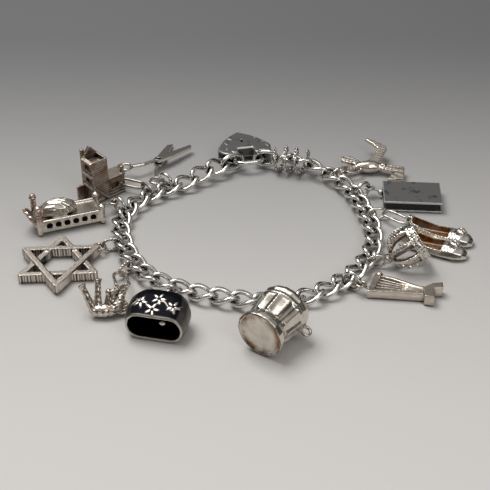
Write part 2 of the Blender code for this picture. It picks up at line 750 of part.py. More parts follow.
def make_bell():
    """A cast cowbell lying with its mouth forward, a strap loop behind it and its clapper inside."""
    frame = charm_frame("bell")
    outer = loft(bell_sections(), frame)
    inner = bell_sections(BELL_WALL)[:4]
    mouth = [(x, y - 0.3 * MM, z) for x, y, z in inner[0]]
    hollow = loft([mouth, *([(x, y * 0.96, z) for x, y, z in row] for row in inner[1:])], frame)
    high = BELL_HEIGHT * 0.6
    start = BELL_LENGTH - 0.5 * MM
    strap = wire([(x, start + y, high) for x, y in circle(2.0 * MM, 8, start=0, end=pi)], 0.7 * MM, frame)
    end = frame @ Vector((0, start + 1.8 * MM, high))
    fuse("bell", DARK, [outer, strap, *soldered_rings("bell", end)], [hollow])
    hang = (0, BELL_LENGTH * 0.76, BELL_HEIGHT * 0.62)
    drop = (1.2 * MM, BELL_LENGTH * 0.36, BELL_HEIGHT * 0.34)
    arm = rod(hang, drop, 0.35 * MM, frame, sides=8)
    bob = ball((CLAPPER_RADIUS,) * 3, drop, frame, segments=8)
    fuse("bell_clapper", WORN, [bob, arm])


# Pot
def make_pot():
    """A squat lidded pot lying on its side: plain foot, ribbed bowl, ringed rim and a small loop."""
    lean = Matrix.Rotation(atan2(POT_RIM_RADIUS - POT_BASE_RADIUS, POT_RIM_PLACE), 4, "X")
    frame = charm_frame("pot") @ Matrix.Rotation(-pi / 2, 4, "X") @ lean
    base, waist, rim, place = POT_BASE_RADIUS, POT_WAIST_RADIUS, POT_RIM_RADIUS, POT_RIM_PLACE
    profile = [
        (0, 0.4 * MM), (base - 0.6 * MM, 0.4 * MM), (base - 0.4 * MM, 0),
        (base, 0.2 * MM), (base, 1.5 * MM),
        (base - 0.5 * MM, 1.9 * MM), (waist, place * 0.33), (waist + 0.5 * MM, place * 0.6),
        (rim - 0.5 * MM, place * 0.84), (rim, place * 0.9), (rim - 0.3 * MM, place * 0.98),
        (rim, place * 1.07), (rim - 0.3 * MM, place * 1.17), (rim - 1.4 * MM, place * 1.26),
        (0, place * 1.34),
    ]
    pieces = [lathe(profile, frame, 16)]
    for x, y in circle(1, POT_RIBS):
        low = Vector((x, y, 0)) * (waist - 0.15 * MM) + Vector((0, 0, place * 0.36))
        high = Vector((x, y, 0)) * (rim - 0.95 * MM) + Vector((0, 0, place * 0.86))
        pieces.append(rod(low, high, POT_RIB_RADIUS * 0.8, frame, POT_RIB_RADIUS, sides=6))
    move = settled(pieces)
    low_side = Vector((cos(POT_LOOP_ANGLE), sin(POT_LOOP_ANGLE), 0))
    loop = low_side * (rim + 0.7 * MM) + Vector((0, 0, place * 0.98))
    across = low_side.cross(Vector((0, 0, 1)))
    pieces.append(hoop(1.1 * MM, 0.8 * MM, loop, across, move @ frame, points=10))
    end = move @ frame @ Vector((0, 0, place * 1.3))
    fuse("pot", WORN, [*pieces, *soldered_rings("pot", end)])


# Crown
def make_crown():
    """An arched crown leaning over onto its orb: a band of four lines, eight arches, and the orb."""
    frame = charm_frame("crown") @ Matrix.Rotation(pi / 2 + CROWN_LEAN, 4, "Y")
    outer, inner = CROWN_RADIUS, CROWN_RADIUS - CROWN_WALL
    lines = [(outer - 0.2 * MM * (k % 2), CROWN_BAND * k / 4) for k in range(5)]
    band = ring_of([(inner, 0), *lines, (inner, CROWN_BAND)], frame, 16)
    top = CROWN_HEIGHT - CROWN_ORB
    shape = [(0.94, 0.1), (1.05, 0.44), (0.94, 0.74), (0.56, 0.95), (0, 1.0)]
    pieces = [band]
    for k in range(CROWN_ARCHES // 2):
        tall = top * (1 + 0.006 * k)
        over = [(x * outer, z * tall) for x, z in shape]
        under = [(x * (outer - CROWN_STRAP), z * (tall - CROWN_STRAP) + 0.05 * MM * z) for x, z in shape]
        rising = [(-x, z) for x, z in over[:-1]]
        sinking = [(-x, z) for x, z in under[:-1]]
        outline = rising + over[::-1] + under + sinking[::-1]
        turn = Matrix.Rotation(k * pi / (CROWN_ARCHES // 2) + 0.02, 4, "Z")
        stand = frame @ turn @ Matrix.Rotation(pi / 2, 4, "X")
        pieces.append(slab(outline, CROWN_STRAP, -CROWN_STRAP / 2, stand))
    pieces.append(ball((CROWN_ORB,) * 3, (0, 0, top + CROWN_ORB * 0.6), frame, segments=8))
    move = settled(pieces)
    end = move @ frame @ Vector((0, 0, top + CROWN_ORB * 0.8))
    fuse("crown", DARK, [*pieces, *soldered_rings("crown", end)])


# Slippers
def slipper(frame, side):
    """One slipper: a long shell with a tall heel, open along the top, and a rosette on its toe."""
    table = [
        (-1.0, 0.34, 0.96), (-0.86, 0.66, 1.0), (-0.5, 0.82, 0.8), (-0.1, 0.88, 0.62),
        (0.3, 1.0, 0.64), (0.66, 0.98, 0.66), (0.88, 0.7, 0.5), (1.0, 0.34, 0.3),
    ]
    shift = Vector((0, side * SHOE_SPACING / 2, 0))
    shell, hollow = [], []
    for x, wide, high in table:
        along_x = x * SHOE_LENGTH / 2
        half = SHOE_WIDTH / 2 * wide
        level = SHOE_HEIGHT * high
        ring = [(y, (max(z, -0.5) + 0.5) / 1.5) for y, z in circle(1, 10, start=0.01, end=2 * pi + 0.01)]
        shell.append([shift + Vector((along_x, y * half, z * level)) for y, z in ring])
        if -0.95 < x < 0.5:
            tuck = half - SHOE_WALL
            row = [Vector((along_x * 0.96, y * tuck, SHOE_WALL + z * level * 1.6)) for y, z in ring]
            hollow.append([shift + point for point in row])
    toe = shift + Vector((SHOE_LENGTH * 0.31, 0, SHOE_HEIGHT * 0.66))
    trims = [
        ball((ROSETTE_RADIUS, ROSETTE_RADIUS, 0.8 * MM), toe, frame, segments=8, rings=4),
        ball((0.7 * MM,) * 3, toe + Vector((0, 0, 0.6 * MM)), frame, segments=5, rings=4),
    ]
    return loft(shell, frame), loft(hollow, frame), trims


def make_shoes():
    frame = charm_frame("shoes")
    back, back_hollow, back_trims = slipper(frame, 1)
    front, front_hollow, front_trims = slipper(frame, -1)
    heel = frame @ Vector((-SHOE_LENGTH / 2, SHOE_SPACING / 2, SHOE_HEIGHT * 0.5))
    pieces = [back, front, *back_trims, *front_trims]
    both = shaped(pieces, [back_hollow, front_hollow])
    fuse("shoes", WORN, [both, *soldered_rings("shoes", heel, 2)])


# Harp
def make_harp():
    """A harp lying on its side: front rail, slanted end, curved neck, five strings and two feet."""
    jump_ring("harp")
    frame = charm_frame("harp")
    thick = HARP_THICKNESS
    top = Vector((HARP_SLANT, HARP_WIDTH, 0))
    rail_shape = [(0, 0), (HARP_LENGTH, -0.2 * MM), (HARP_LENGTH, 0.9 * MM), (0.3 * MM, 1.1 * MM)]
    end_shape = [(0, 0), (1.3 * MM, 0), (top.x + 1.0 * MM, top.y), (top.x - 0.5 * MM, top.y)]
    foot_shape = [
        (-0.4, -1.5), (1.8, -1.8), (2.0, 0.2), (1.8, 1.6), (4.0, 2.0), (4.0, 4.2), (1.6, 3.6), (-0.8, 1.8),
    ]
    foot_shape = [(HARP_LENGTH + x * MM, y * MM) for x, y in foot_shape]
    pieces = [
        slab(rail_shape, thick, 0, frame),
        slab(end_shape, thick * 0.96, 0.02 * MM, frame),
        slab(foot_shape, thick + 0.5 * MM, 0, frame),
    ]
    neck = []
    for share in (0, 0.15, 0.3, 0.5, 0.7, 0.85, 1):
        x = top.x + (HARP_LENGTH + 1.4 * MM - top.x) * share
        y = top.y - (top.y - 3.0 * MM) * share + sin(2 * pi * share) * 0.35 * MM
        neck.append((x, y - 0.3 * MM, thick * 0.55))
    pieces.append(wire(neck, 0.65 * MM, frame))
    for k in range(HARP_STRINGS):
        share = (k + 0.7) / (HARP_STRINGS + 0.4)
        start = (0.5 * MM + HARP_SLANT * share, 0.8 * MM + (HARP_WIDTH - 1.4 * MM) * share, thick * 0.62)
        end = (HARP_LENGTH - 0.1 * MM, 0.8 * MM + 1.6 * MM * share, thick * 0.62)
        pieces.append(rod(start, end, HARP_STRING / 2, frame, sides=6))
    pieces.append(ball((1.0 * MM,) * 3, top + Vector((0.4 * MM, 0, thick * 0.62)), frame, segments=8))
    target = frame @ Vector((0.9 * MM, 1.4 * MM, thick * 0.7))
    fuse("harp", WORN, [*pieces, *eye_and_stem("harp", target)])


# Bed
def make_bed():
    """A bedstead with pierced side rails, ringed posts, a pointed headboard that leans out, and a quilt."""
    jump_ring("bed")
    frame = charm_frame("bed")
    half, wide = BED_LENGTH / 2, BED_WIDTH / 2
    middle = BED_FLOOR_HEIGHT + BED_RAIL_HEIGHT / 2
    top = BED_FLOOR_HEIGHT + BED_RAIL_HEIGHT
    inner = (BED_LENGTH - 0.6 * MM, BED_WIDTH - 0.6 * MM, 1.6 * MM)
    pieces = [box(inner, (0, 0, top - 1.3 * MM), frame)]
    cuts = []
    for side in (-1, 1):
        y = side * (wide - BED_RAIL / 2)
        pieces.append(box((BED_LENGTH, BED_RAIL, BED_RAIL_HEIGHT), (0, y, middle), frame))
        for end, height in ((-1, BED_HEAD_HEIGHT), (1, BED_FOOT_HEIGHT)):
            x = end * (half - BED_POST * 0.8)
            pieces.append(rod((x, y, 0), (x, y, height), BED_POST, frame, sides=7))
            knob = (x, y, height + BED_POST * 0.6)
            pieces.append(ball((BED_POST * 1.3,) * 3, knob, frame, segments=7, rings=4))
    for end in (-1, 1):
        size = (BED_RAIL, BED_WIDTH - 0.4 * MM, BED_RAIL_HEIGHT - 0.1 * MM)
        pieces.append(box(size, (end * (half - BED_RAIL / 2 - 0.1 * MM), 0, middle), frame))
    for k in range(BED_HOLES):
        x = (k - (BED_HOLES - 1) / 2) * BED_LENGTH * 0.13
        low = (x, -wide - 1 * MM, middle + 0.1 * MM)
        cuts.append(rod(low, (x, -wide + 0.5 * MM, middle + 0.1 * MM), BED_HOLE_RADIUS, frame, sides=6))
    hinge = Matrix.Translation((0.6 * MM - half, 0, BED_FLOOR_HEIGHT + 1 * MM))
    upright = Matrix.Rotation(pi / 2, 4, "Z") @ Matrix.Rotation(pi / 2, 4, "X")
    lean = hinge @ Matrix.Rotation(-BED_HEAD_LEAN, 4, "Y") @ upright
    foot = wide - 0.4 * MM
    board = [(-foot, 0), (foot, 0), (wide * 0.7, 3.4 * MM), (0, 5.8 * MM), (-wide * 0.7, 3.4 * MM)]
    pieces.append(slab(board, 0.9 * MM, -0.45 * MM, frame @ lean))
    quilt = (-half * 0.3, 0, top + BED_QUILT * 0.2)
    pieces.append(ball((half * 0.58, wide * 0.84, BED_QUILT), quilt, frame, segments=9, rings=6))
    target = frame @ Vector((half - 0.4 * MM, 0, top - 0.6 * MM))
    fuse("bed", WORN, [*pieces, *eye_and_stem("bed", target)], cuts)


# House
def make_house():
    """A timber house standing up: a tower open at the top, a low wing, a stair rail and an open door."""
    frame = charm_frame("house")
    wide, deep, high = HOUSE_TOWER_WIDTH, HOUSE_TOWER_DEPTH, HOUSE_TOWER_HEIGHT
    wall = HOUSE_WALL
    long, low = HOUSE_WING_LENGTH, HOUSE_WING_HEIGHT
    whole_length = wide + long
    wing_middle = wide + (long - 1 * MM) / 2
    pieces = [
        box((wide, deep, high), (wide / 2, deep / 2, high / 2 + 0.1 * MM), frame),
        box((long + 1 * MM, deep * 0.76, low), (wing_middle, deep * 0.54, low / 2 + 0.2 * MM), frame),
        box((long + 1 * MM, deep * 0.9, 0.6 * MM), (wing_middle + 0.5 * MM, deep * 0.52, low), frame),
        box(
            (whole_length, deep + 0.4 * MM, HOUSE_BASE),
            (whole_length / 2 - 0.2 * MM, deep / 2, HOUSE_BASE / 2), frame,
        ),
    ]
    gable = [(-0.2 * MM, 0), (wide + 0.2 * MM, 0), (wide * 0.52, 2.9 * MM)]
    gable_foot = Matrix.Translation((0, deep + 0.1 * MM, high - 0.3 * MM))
    pieces.append(slab(gable, 0.9 * MM, 0, frame @ gable_foot @ Matrix.Rotation(pi / 2, 4, "X")))
    far_post = high / 2 + 1 * MM
    wing_post = low / 2 + 1 * MM
    posts = [
        (far_post, (0.31 * MM, deep - 0.15 * MM, far_post + 0.15 * MM)),
        (wing_post, (whole_length - 0.1 * MM, deep * 0.22, wing_post + 0.25 * MM)),
    ]
    for half, centre in posts:
        pieces.append(box((HOUSE_POST, HOUSE_POST, 2 * half), centre, frame))
    for share in (0.36, 0.64, 0.97):
        ledge = (1.0 * MM, deep * 0.86, 0.6 * MM)
        pieces.append(box(ledge, (-0.1 * MM, deep * 0.46, high * share), frame))
    rail_top = (-0.1 * MM, -0.1 * MM, high * 0.42)
    rail = rod(rail_top, (wide * 0.86, -0.2 * MM, 0.4 * MM), 0.45 * MM, frame, sides=6)
    door_place = (0.3 * MM - HOUSE_DOOR / 2, deep * 0.86, HOUSE_DOOR * 0.75 + 0.02 * MM)
    door = box((HOUSE_DOOR, 0.6 * MM, HOUSE_DOOR * 1.5), door_place, frame)
    cuts = [
        box((wide - 2 * wall, deep - 2.4 * wall, 2.4 * MM), (wide / 2, deep * 0.46, high), frame),
        box((1.2 * MM, deep * 0.5, high * 0.15), (0, deep * 0.46, high * 0.51), frame),
        box((1.2 * MM, deep * 0.5, high * 0.15), (0, deep * 0.46, high * 0.81), frame),
        box((long * 0.42, 1.4 * MM, low * 0.34), (wide + long * 0.46, deep * 0.16, low * 0.5), frame),
    ]
    whole = shaped(pieces, cuts)
    end = frame @ Vector((wide + long - 0.1 * MM, deep * 0.5, low * 0.42))
    fuse("house", DARK, [whole, rail, door, *soldered_rings("house", end, 2)])


# Horse
def make_horse():
    """A small horse tipped on its back: hind legs up, forelegs with ball hooves, and a rough mane."""
    frame = charm_frame("horse")
    body = HORSE_BODY
    pieces = [ball((HORSE_BODY_LENGTH / 2, body, body), (0, 0, body), frame, segments=8)]
    spans = [
        ((-2.4, 0.3, 2.0), (-4.3, 2.2, 6.6), 0.95, 0.75),
        ((-1.2, 0.7, 2.2), (-1.0, 3.5, 7.0), 0.95, 0.75),
        ((0.7, 0.2, 2.2), (1.3, 1.7, 5.4), 0.8, 0.6),
        ((1.6, 0.3, 2.2), (2.4, 1.9, 5.3), 0.8, 0.6),
    ]
    for k, (start, end, thick, thin) in enumerate(spans):
        start, end = Vector(start) * MM, Vector(end) * MM
        pieces.append(rod(start, end, thick * MM, frame, thin * MM, sides=6))
        ahead = (end - start).normalized() * MM
        if k < 2:
            pieces.append(rod(end - ahead * 0.4, end + ahead * 0.7, 0.7 * MM, frame, 1.05 * MM, sides=6))
        else:
            pieces.append(ball((0.85 * MM,) * 3, end, frame, segments=6, rings=4))
    neck = Vector((2.6, 0.2, 1.6)) * MM
    head = Vector((4.3, 3.4, 4.6)) * MM
    pieces.append(rod(neck, head, 1.35 * MM, frame, 1.0 * MM, sides=8))
    muzzle = Matrix.Rotation(radians(-55), 4, "Y")
    face = head + Vector((0.2, -0.4, 0.5)) * MM
    pieces.append(ball((1.9 * MM, 0.9 * MM, 1.0 * MM), face, frame, muzzle, segments=7, rings=5))
    crest = [
        (-0.6, -1.0), (1.6, -1.2), (2.2, 1.2), (1.3, 2.2), (1.9, 3.6), (0.2, 4.6), (-0.6, 3.0), (-0.2, 1.4),
    ]
    crest_foot = Matrix.Translation((3.2 * MM, 0.6 * MM, 1.3 * MM))
    stand = frame @ crest_foot @ Matrix.Rotation(radians(48), 4, "X")
    pieces.append(slab([(x * MM, y * MM) for x, y in crest], 1.1 * MM, -0.5 * MM, stand))
    move = settled(pieces)
    end = move @ frame @ (head + Vector((0.2, 0.6, 0.2)) * MM)
    fuse("horse", WORN, [*pieces, *soldered_rings("horse", end, 2)])


# Bird
def make_bird():
    """A swallow in flight, lying on its breast: round head, forked tail and two bent wings."""
    frame = charm_frame("bird")
    body = BIRD_BODY
    level = body * 1.5
    roll = frame @ Matrix.Translation((0, 0, level)) @ Matrix.Rotation(BIRD_ROLL, 4, "X")
    pieces = [
        ball((BIRD_BODY_LENGTH / 2, body, body), (-0.2 * MM, -0.4 * MM, 0), roll, segments=10),
        ball((BIRD_HEAD,) * 3, (BIRD_BODY_LENGTH * 0.46, -0.7 * MM, 0.4 * MM), roll, segments=8),
    ]
    plates = [
        [(-1.6, 0.8), (-3.2, -0.2), (-7.6, 1.6), (-7.4, 3.6), (-5.0, 3.8)],
        [(-2.0, -0.6), (-3.4, 0.1), (-8.6, -1.6), (-7.8, -3.7), (-5.8, -2.6)],
        [(-1.4, 0.4), (2.6, 0.4), (5.7, 6.8), (5.2, 7.9), (3.0, 7.7), (2.0, 4.4)],
        [(3.4, 5.8), (5.5, 7.4), (3.4, 9.2), (0.2, 11.4), (-0.4, 10.8), (1.8, 8.4)],
        [(1.0, -1.6), (3.2, 0.4), (9.6, -1.2), (9.2, -2.6), (6.0, -3.2), (3.6, -2.2)],
        [(8.2, -1.5), (9.6, -1.3), (8.8, -6.4), (4.2, -6.8), (4.6, -5.4), (6.6, -3.4)],
    ]
    for k, plate in enumerate(plates):
        outline = [(x * MM, y * MM) for x, y in plate]
        pieces.append(slab(outline, BIRD_WING, (0.05 * k - 0.2) * MM, roll, taper=0.9))
    move = settled(pieces)
    end = move @ roll @ Vector((-2.4 * MM, -1.4 * MM, 0.2 * MM))
    fuse("bird", BRIGHT, [*pieces, *soldered_rings("bird", end, 2)])


# Scissors
def scissors_half(frame, side):
    """Half a pair: blade, shank and finger loop in one flat casting. side says which way the loop lies."""
    width = SCISSORS_BLADE_WIDTH
    long = SCISSORS_BLADE
    shape = [(0, 0.42), (long * 0.3, 0.4), (long, 0.3), (long * 0.92, -0.3), (long * 0.3, -0.62), (0, -0.5)]
    blade = [(x if x else -1 * MM, side * width * y) for x, y in shape]
    reach = SCISSORS_LOOP + SCISSORS_WIRE / 2
    loop = Vector((-SCISSORS_HANDLE, side * (reach + PASSING_GAP), 0))
    bends = [(-0.4, 0.0), (-2.6, 0.15), (-5.0, 0.35)]
    shank = [Vector((x * MM, side * y * MM, 0)) for x, y in bends]
    shank.append(loop + Vector((SCISSORS_LOOP * 0.9, -side * SCISSORS_LOOP * 0.5, 0)))
    return [
        slab(blade, SCISSORS_PLATE, -SCISSORS_PLATE / 2, frame),
        wire(shank, SCISSORS_WIRE * 0.6, frame),
        hoop(SCISSORS_LOOP, SCISSORS_WIRE, loop, (0, 0, 1), frame, points=12),
    ]


def make_scissors():
    """An open pair on its ring: the lower half hangs on the ring, and the upper half turns on the rivet."""
    jump_ring("scissors")
    drop = Matrix.Translation((0, 0, SCISSORS_PIVOT_HEIGHT))
    frame = charm_frame("scissors") @ drop @ Matrix.Rotation(SCISSORS_TILT, 4, "Y")
    step = SCISSORS_WIRE * 1.2 + SCISSORS_GAP
    lower = scissors_half(frame @ Matrix.Rotation(SCISSORS_OPENING / 2, 4, "Z"), -1)
    pin = rod((0, 0, 0), (0, 0, step + SCISSORS_PLATE / 2 + 0.4 * MM), SCISSORS_PIN, frame)
    fuse("scissors_lower_half", WORN, [*lower, pin])
    pivot = frame @ Matrix.Translation((0, 0, step))
    upper = scissors_half(pivot @ Matrix.Rotation(-SCISSORS_OPENING / 2, 4, "Z"), 1)
    bore = rod((0, 0, -2 * step), (0, 0, 2 * step), SCISSORS_PIN + RIVET_PLAY, pivot, sides=12)
    fuse("scissors_upper_half", WORN, upper, [bore], pivot)


clear_scene()
PARTS = collection("charm_bracelet")
HELPERS = collection("cutters")
LINKS = make_chain()
make_padlock()
make_shackle()
make_safety_chain()
make_book()
make_star()
make_bell()
make_pot()
make_crown()
make_shoes()
make_harp()
make_bed()
make_house()
make_horse()
make_bird()
make_scissors()
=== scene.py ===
from math import atan2, cos, hypot, pi, radians, sin

import bpy
import numpy as np
from mathutils import Matrix, Vector


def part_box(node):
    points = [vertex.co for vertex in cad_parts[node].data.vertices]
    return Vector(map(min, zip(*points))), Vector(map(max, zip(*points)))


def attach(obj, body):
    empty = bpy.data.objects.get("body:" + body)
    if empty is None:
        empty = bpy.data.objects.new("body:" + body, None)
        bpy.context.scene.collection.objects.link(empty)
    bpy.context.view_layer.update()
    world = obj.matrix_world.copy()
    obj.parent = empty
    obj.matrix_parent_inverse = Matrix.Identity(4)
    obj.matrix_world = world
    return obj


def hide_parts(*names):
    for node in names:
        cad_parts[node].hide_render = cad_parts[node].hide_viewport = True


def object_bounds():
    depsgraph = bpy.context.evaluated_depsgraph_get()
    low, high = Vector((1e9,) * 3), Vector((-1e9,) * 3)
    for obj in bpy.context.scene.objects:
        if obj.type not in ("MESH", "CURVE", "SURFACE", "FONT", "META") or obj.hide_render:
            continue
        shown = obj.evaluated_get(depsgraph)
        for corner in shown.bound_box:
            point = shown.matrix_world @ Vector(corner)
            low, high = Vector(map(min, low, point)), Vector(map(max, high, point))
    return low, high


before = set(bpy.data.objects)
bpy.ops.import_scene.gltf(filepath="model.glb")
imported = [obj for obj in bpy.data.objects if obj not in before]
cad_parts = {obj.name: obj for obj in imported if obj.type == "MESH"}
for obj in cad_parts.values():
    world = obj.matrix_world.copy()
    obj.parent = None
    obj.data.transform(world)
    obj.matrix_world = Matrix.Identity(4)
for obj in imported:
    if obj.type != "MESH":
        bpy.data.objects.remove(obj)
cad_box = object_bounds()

# The table and the light
# The bracelet lies on a sheet of pale paper, painted darker behind it as shade. A wide soft box hangs
# above and a little behind, with a weak one in front, and the room beyond them is dim, as silver needs.
MM = 0.001
VIEW_ELEVATION = radians(34.5)
VIEW_DISTANCE = 256.1 * MM
VIEW_CENTRE = Vector((0, -6 * MM, 0))
SENSOR = 36.0
LENS = 77.14
PAPER_SIZE = 1.6
PAPER_DROP = 0.01 * MM
PAPER_ROUGHNESS = 0.85
PAPER_NEAR = "E1DEDA"
PAPER_SHADED_FAR = "737374"
PAPER_FAR_AT = 128 * MM
PAPER_NEAR_AT = -104 * MM
ROOM_ZENITH = "F0EEEB"
ROOM_HORIZON = "1E2023"
ROOM_BELOW = "8A8580"
ROOM_STRENGTH = 0.55
ROOM_BAND = (0.47, 0.62)
KEY_PLACE = (-0.14, 0.10, 0.42)
KEY_SIZE = 0.26
KEY_POWER = 1.36
FRONT_PLACE = (0.22, -0.30, 0.30)
FRONT_SIZE = 0.20
FRONT_POWER = 0.3


def linear(hex_colour):
    """An sRGB hex colour as the linear RGBA that a shader takes."""
    parts = [int(hex_colour[i:i + 2], 16) / 255 for i in (0, 2, 4)]
    return (*[c / 12.92 if c <= 0.04045 else ((c + 0.055) / 1.055) ** 2.4 for c in parts], 1.0)


def add_node(tree, kind, links=(), values=(), **settings):
    """A shader node with its settings, socket values and incoming links."""
    node = tree.nodes.new("ShaderNode" + kind)
    for setting, value in settings.items():
        setattr(node, setting, value)
    for socket, value in dict(values).items():
        node.inputs[socket].default_value = value
    for socket, source in dict(links).items():
        tree.links.new(source, node.inputs[socket])
    return node


def blended(tree, share, low, high):
    """A colour between two, each an sRGB hex or a socket."""
    mix = add_node(tree, "Mix", {0: share}, data_type="RGBA")
    for socket, colour in ((6, low), (7, high)):
        if isinstance(colour, str):
            mix.inputs[socket].default_value = linear(colour)
        else:
            tree.links.new(colour, mix.inputs[socket])
    return mix.outputs[2]


def paper():
    """Uncoated paper: no gloss, and shade painted on it that darkens it towards the back."""
    material = bpy.data.materials.new("uncoated_paper_painted_falloff")
    material.use_nodes = True
    tree = material.node_tree
    shader = tree.nodes["Principled BSDF"]
    shader.inputs["Roughness"].default_value = PAPER_ROUGHNESS
    place = add_node(tree, "TexCoord").outputs["Object"]
    depth = add_node(tree, "SeparateXYZ", {0: place}).outputs["Y"]
    share = add_node(
        tree, "MapRange", {"Value": depth}, {"From Min": PAPER_NEAR_AT, "From Max": PAPER_FAR_AT},
        interpolation_type="SMOOTHSTEP",
    ).outputs[0]
    # The blend from the near tone to the far one is painted shade, the light falling off behind.
    tree.links.new(blended(tree, share, PAPER_NEAR, PAPER_SHADED_FAR), shader.inputs["Base Color"])
    return material


def soft_box(name, place, size, power):
    """A square light that faces the middle of the frame."""
    light = bpy.data.lights.new(name, "AREA")
    light.size = size
    light.energy = power
    box = bpy.data.objects.new(name, light)
    box.location = place
    box.rotation_euler = (-Vector(place)).to_track_quat("-Z", "Y").to_euler()
    bpy.context.scene.collection.objects.link(box)


bpy.ops.mesh.primitive_plane_add(size=PAPER_SIZE, location=(0, 0, cad_box[0].z - PAPER_DROP))
table = bpy.context.object
table.name = "paper"
table.data.materials.append(paper())

camera = bpy.data.objects.new("camera", bpy.data.cameras.new("camera"))
camera.data.lens = LENS
camera.data.sensor_width = SENSOR
camera.data.clip_start = 5 * MM
sight = Vector((0, cos(VIEW_ELEVATION), -sin(VIEW_ELEVATION)))
camera.location = VIEW_CENTRE - sight * VIEW_DISTANCE
camera.rotation_euler = sight.to_track_quat("-Z", "Y").to_euler()
bpy.context.scene.collection.objects.link(camera)
bpy.context.scene.camera = camera
bpy.context.scene.view_settings.view_transform = "Standard"

soft_box("key_box", KEY_PLACE, KEY_SIZE, KEY_POWER)
soft_box("front_box", FRONT_PLACE, FRONT_SIZE, FRONT_POWER)

room = bpy.data.worlds.new("room")
room.use_nodes = True
bpy.context.scene.world = room
way = add_node(room.node_tree, "TexCoord").outputs["Generated"]
height = add_node(room.node_tree, "SeparateXYZ", {0: way}).outputs["Z"]
ramp = add_node(room.node_tree, "ValToRGB", {0: add_node(
    room.node_tree, "MapRange", {"Value": height}, {"From Min": -1.0, "From Max": 1.0}).outputs[0]})
ramp.color_ramp.elements[0].color = linear(ROOM_BELOW)
ramp.color_ramp.elements[1].color = linear(ROOM_ZENITH)
for place in ROOM_BAND:
    ramp.color_ramp.elements.new(place).color = linear(ROOM_HORIZON)
backdrop = room.node_tree.nodes["Background"]
backdrop.inputs["Strength"].default_value = ROOM_STRENGTH
room.node_tree.links.new(ramp.outputs["Color"], backdrop.inputs["Color"])

# Curb chain
# Thirty-eight oval links of round silver wire, each twisted so that it lies flat in the next, and closed
# with solder. The upper faces are bright, and shade is painted on the wire where the links touch, over
# some old tarnish.
CHAIN_ROUTE = [
    (-3.4, 28.9, 0), (-9.0, 25.3, 0.7), (-15.6, 20, 0), (-22.4, 15.9, 0), (-28, 10.2, 0),
    (-30.7, 2.4, 0), (-29.9, -5.6, 0), (-27.2, -13.6, 0), (-22, -21.4, 0), (-14.2, -26.3, 0),
    (-4.6, -29.2, 0), (5, -30.8, 0), (13.4, -29.2, 0), (20.6, -24.6, 0), (26.6, -18, 0),
    (30.4, -9.8, 0), (31.3, -1, 0), (29.8, 8.4, 0), (27.2, 17.2, 0), (22, 24.2, 0.4),
    (16.6, 27.4, 1.3), (11.4, 29.4, 1.3), (5.6, 30.9, 0),
]
LINK_COUNT = 38
LINK_WIRE = 1.15 * MM
LINK_WIDTH = 5.4 * MM
LINK_PLAY = 0.72 * MM
LINK_TWIST = radians(-95)
END_LINKS = 4
END_ROLL = radians(35)
CHAIN_LIFT = 0.5 * MM
LINK_CORNERS = 10
LINK_SMOOTH = 48
LINK_KEEP = cos(pi / LINK_CORNERS)
POLISHED = "EDEAE4"
TARNISH_AND_SHADE = "3B342E"
TARNISH_PATCH = 2.2 * MM
TARNISH_MATT = 0.3
MATT_LIMIT = 0.75
DENT_DEPTH = 0.03 * MM
DENT_STRENGTH = 0.16


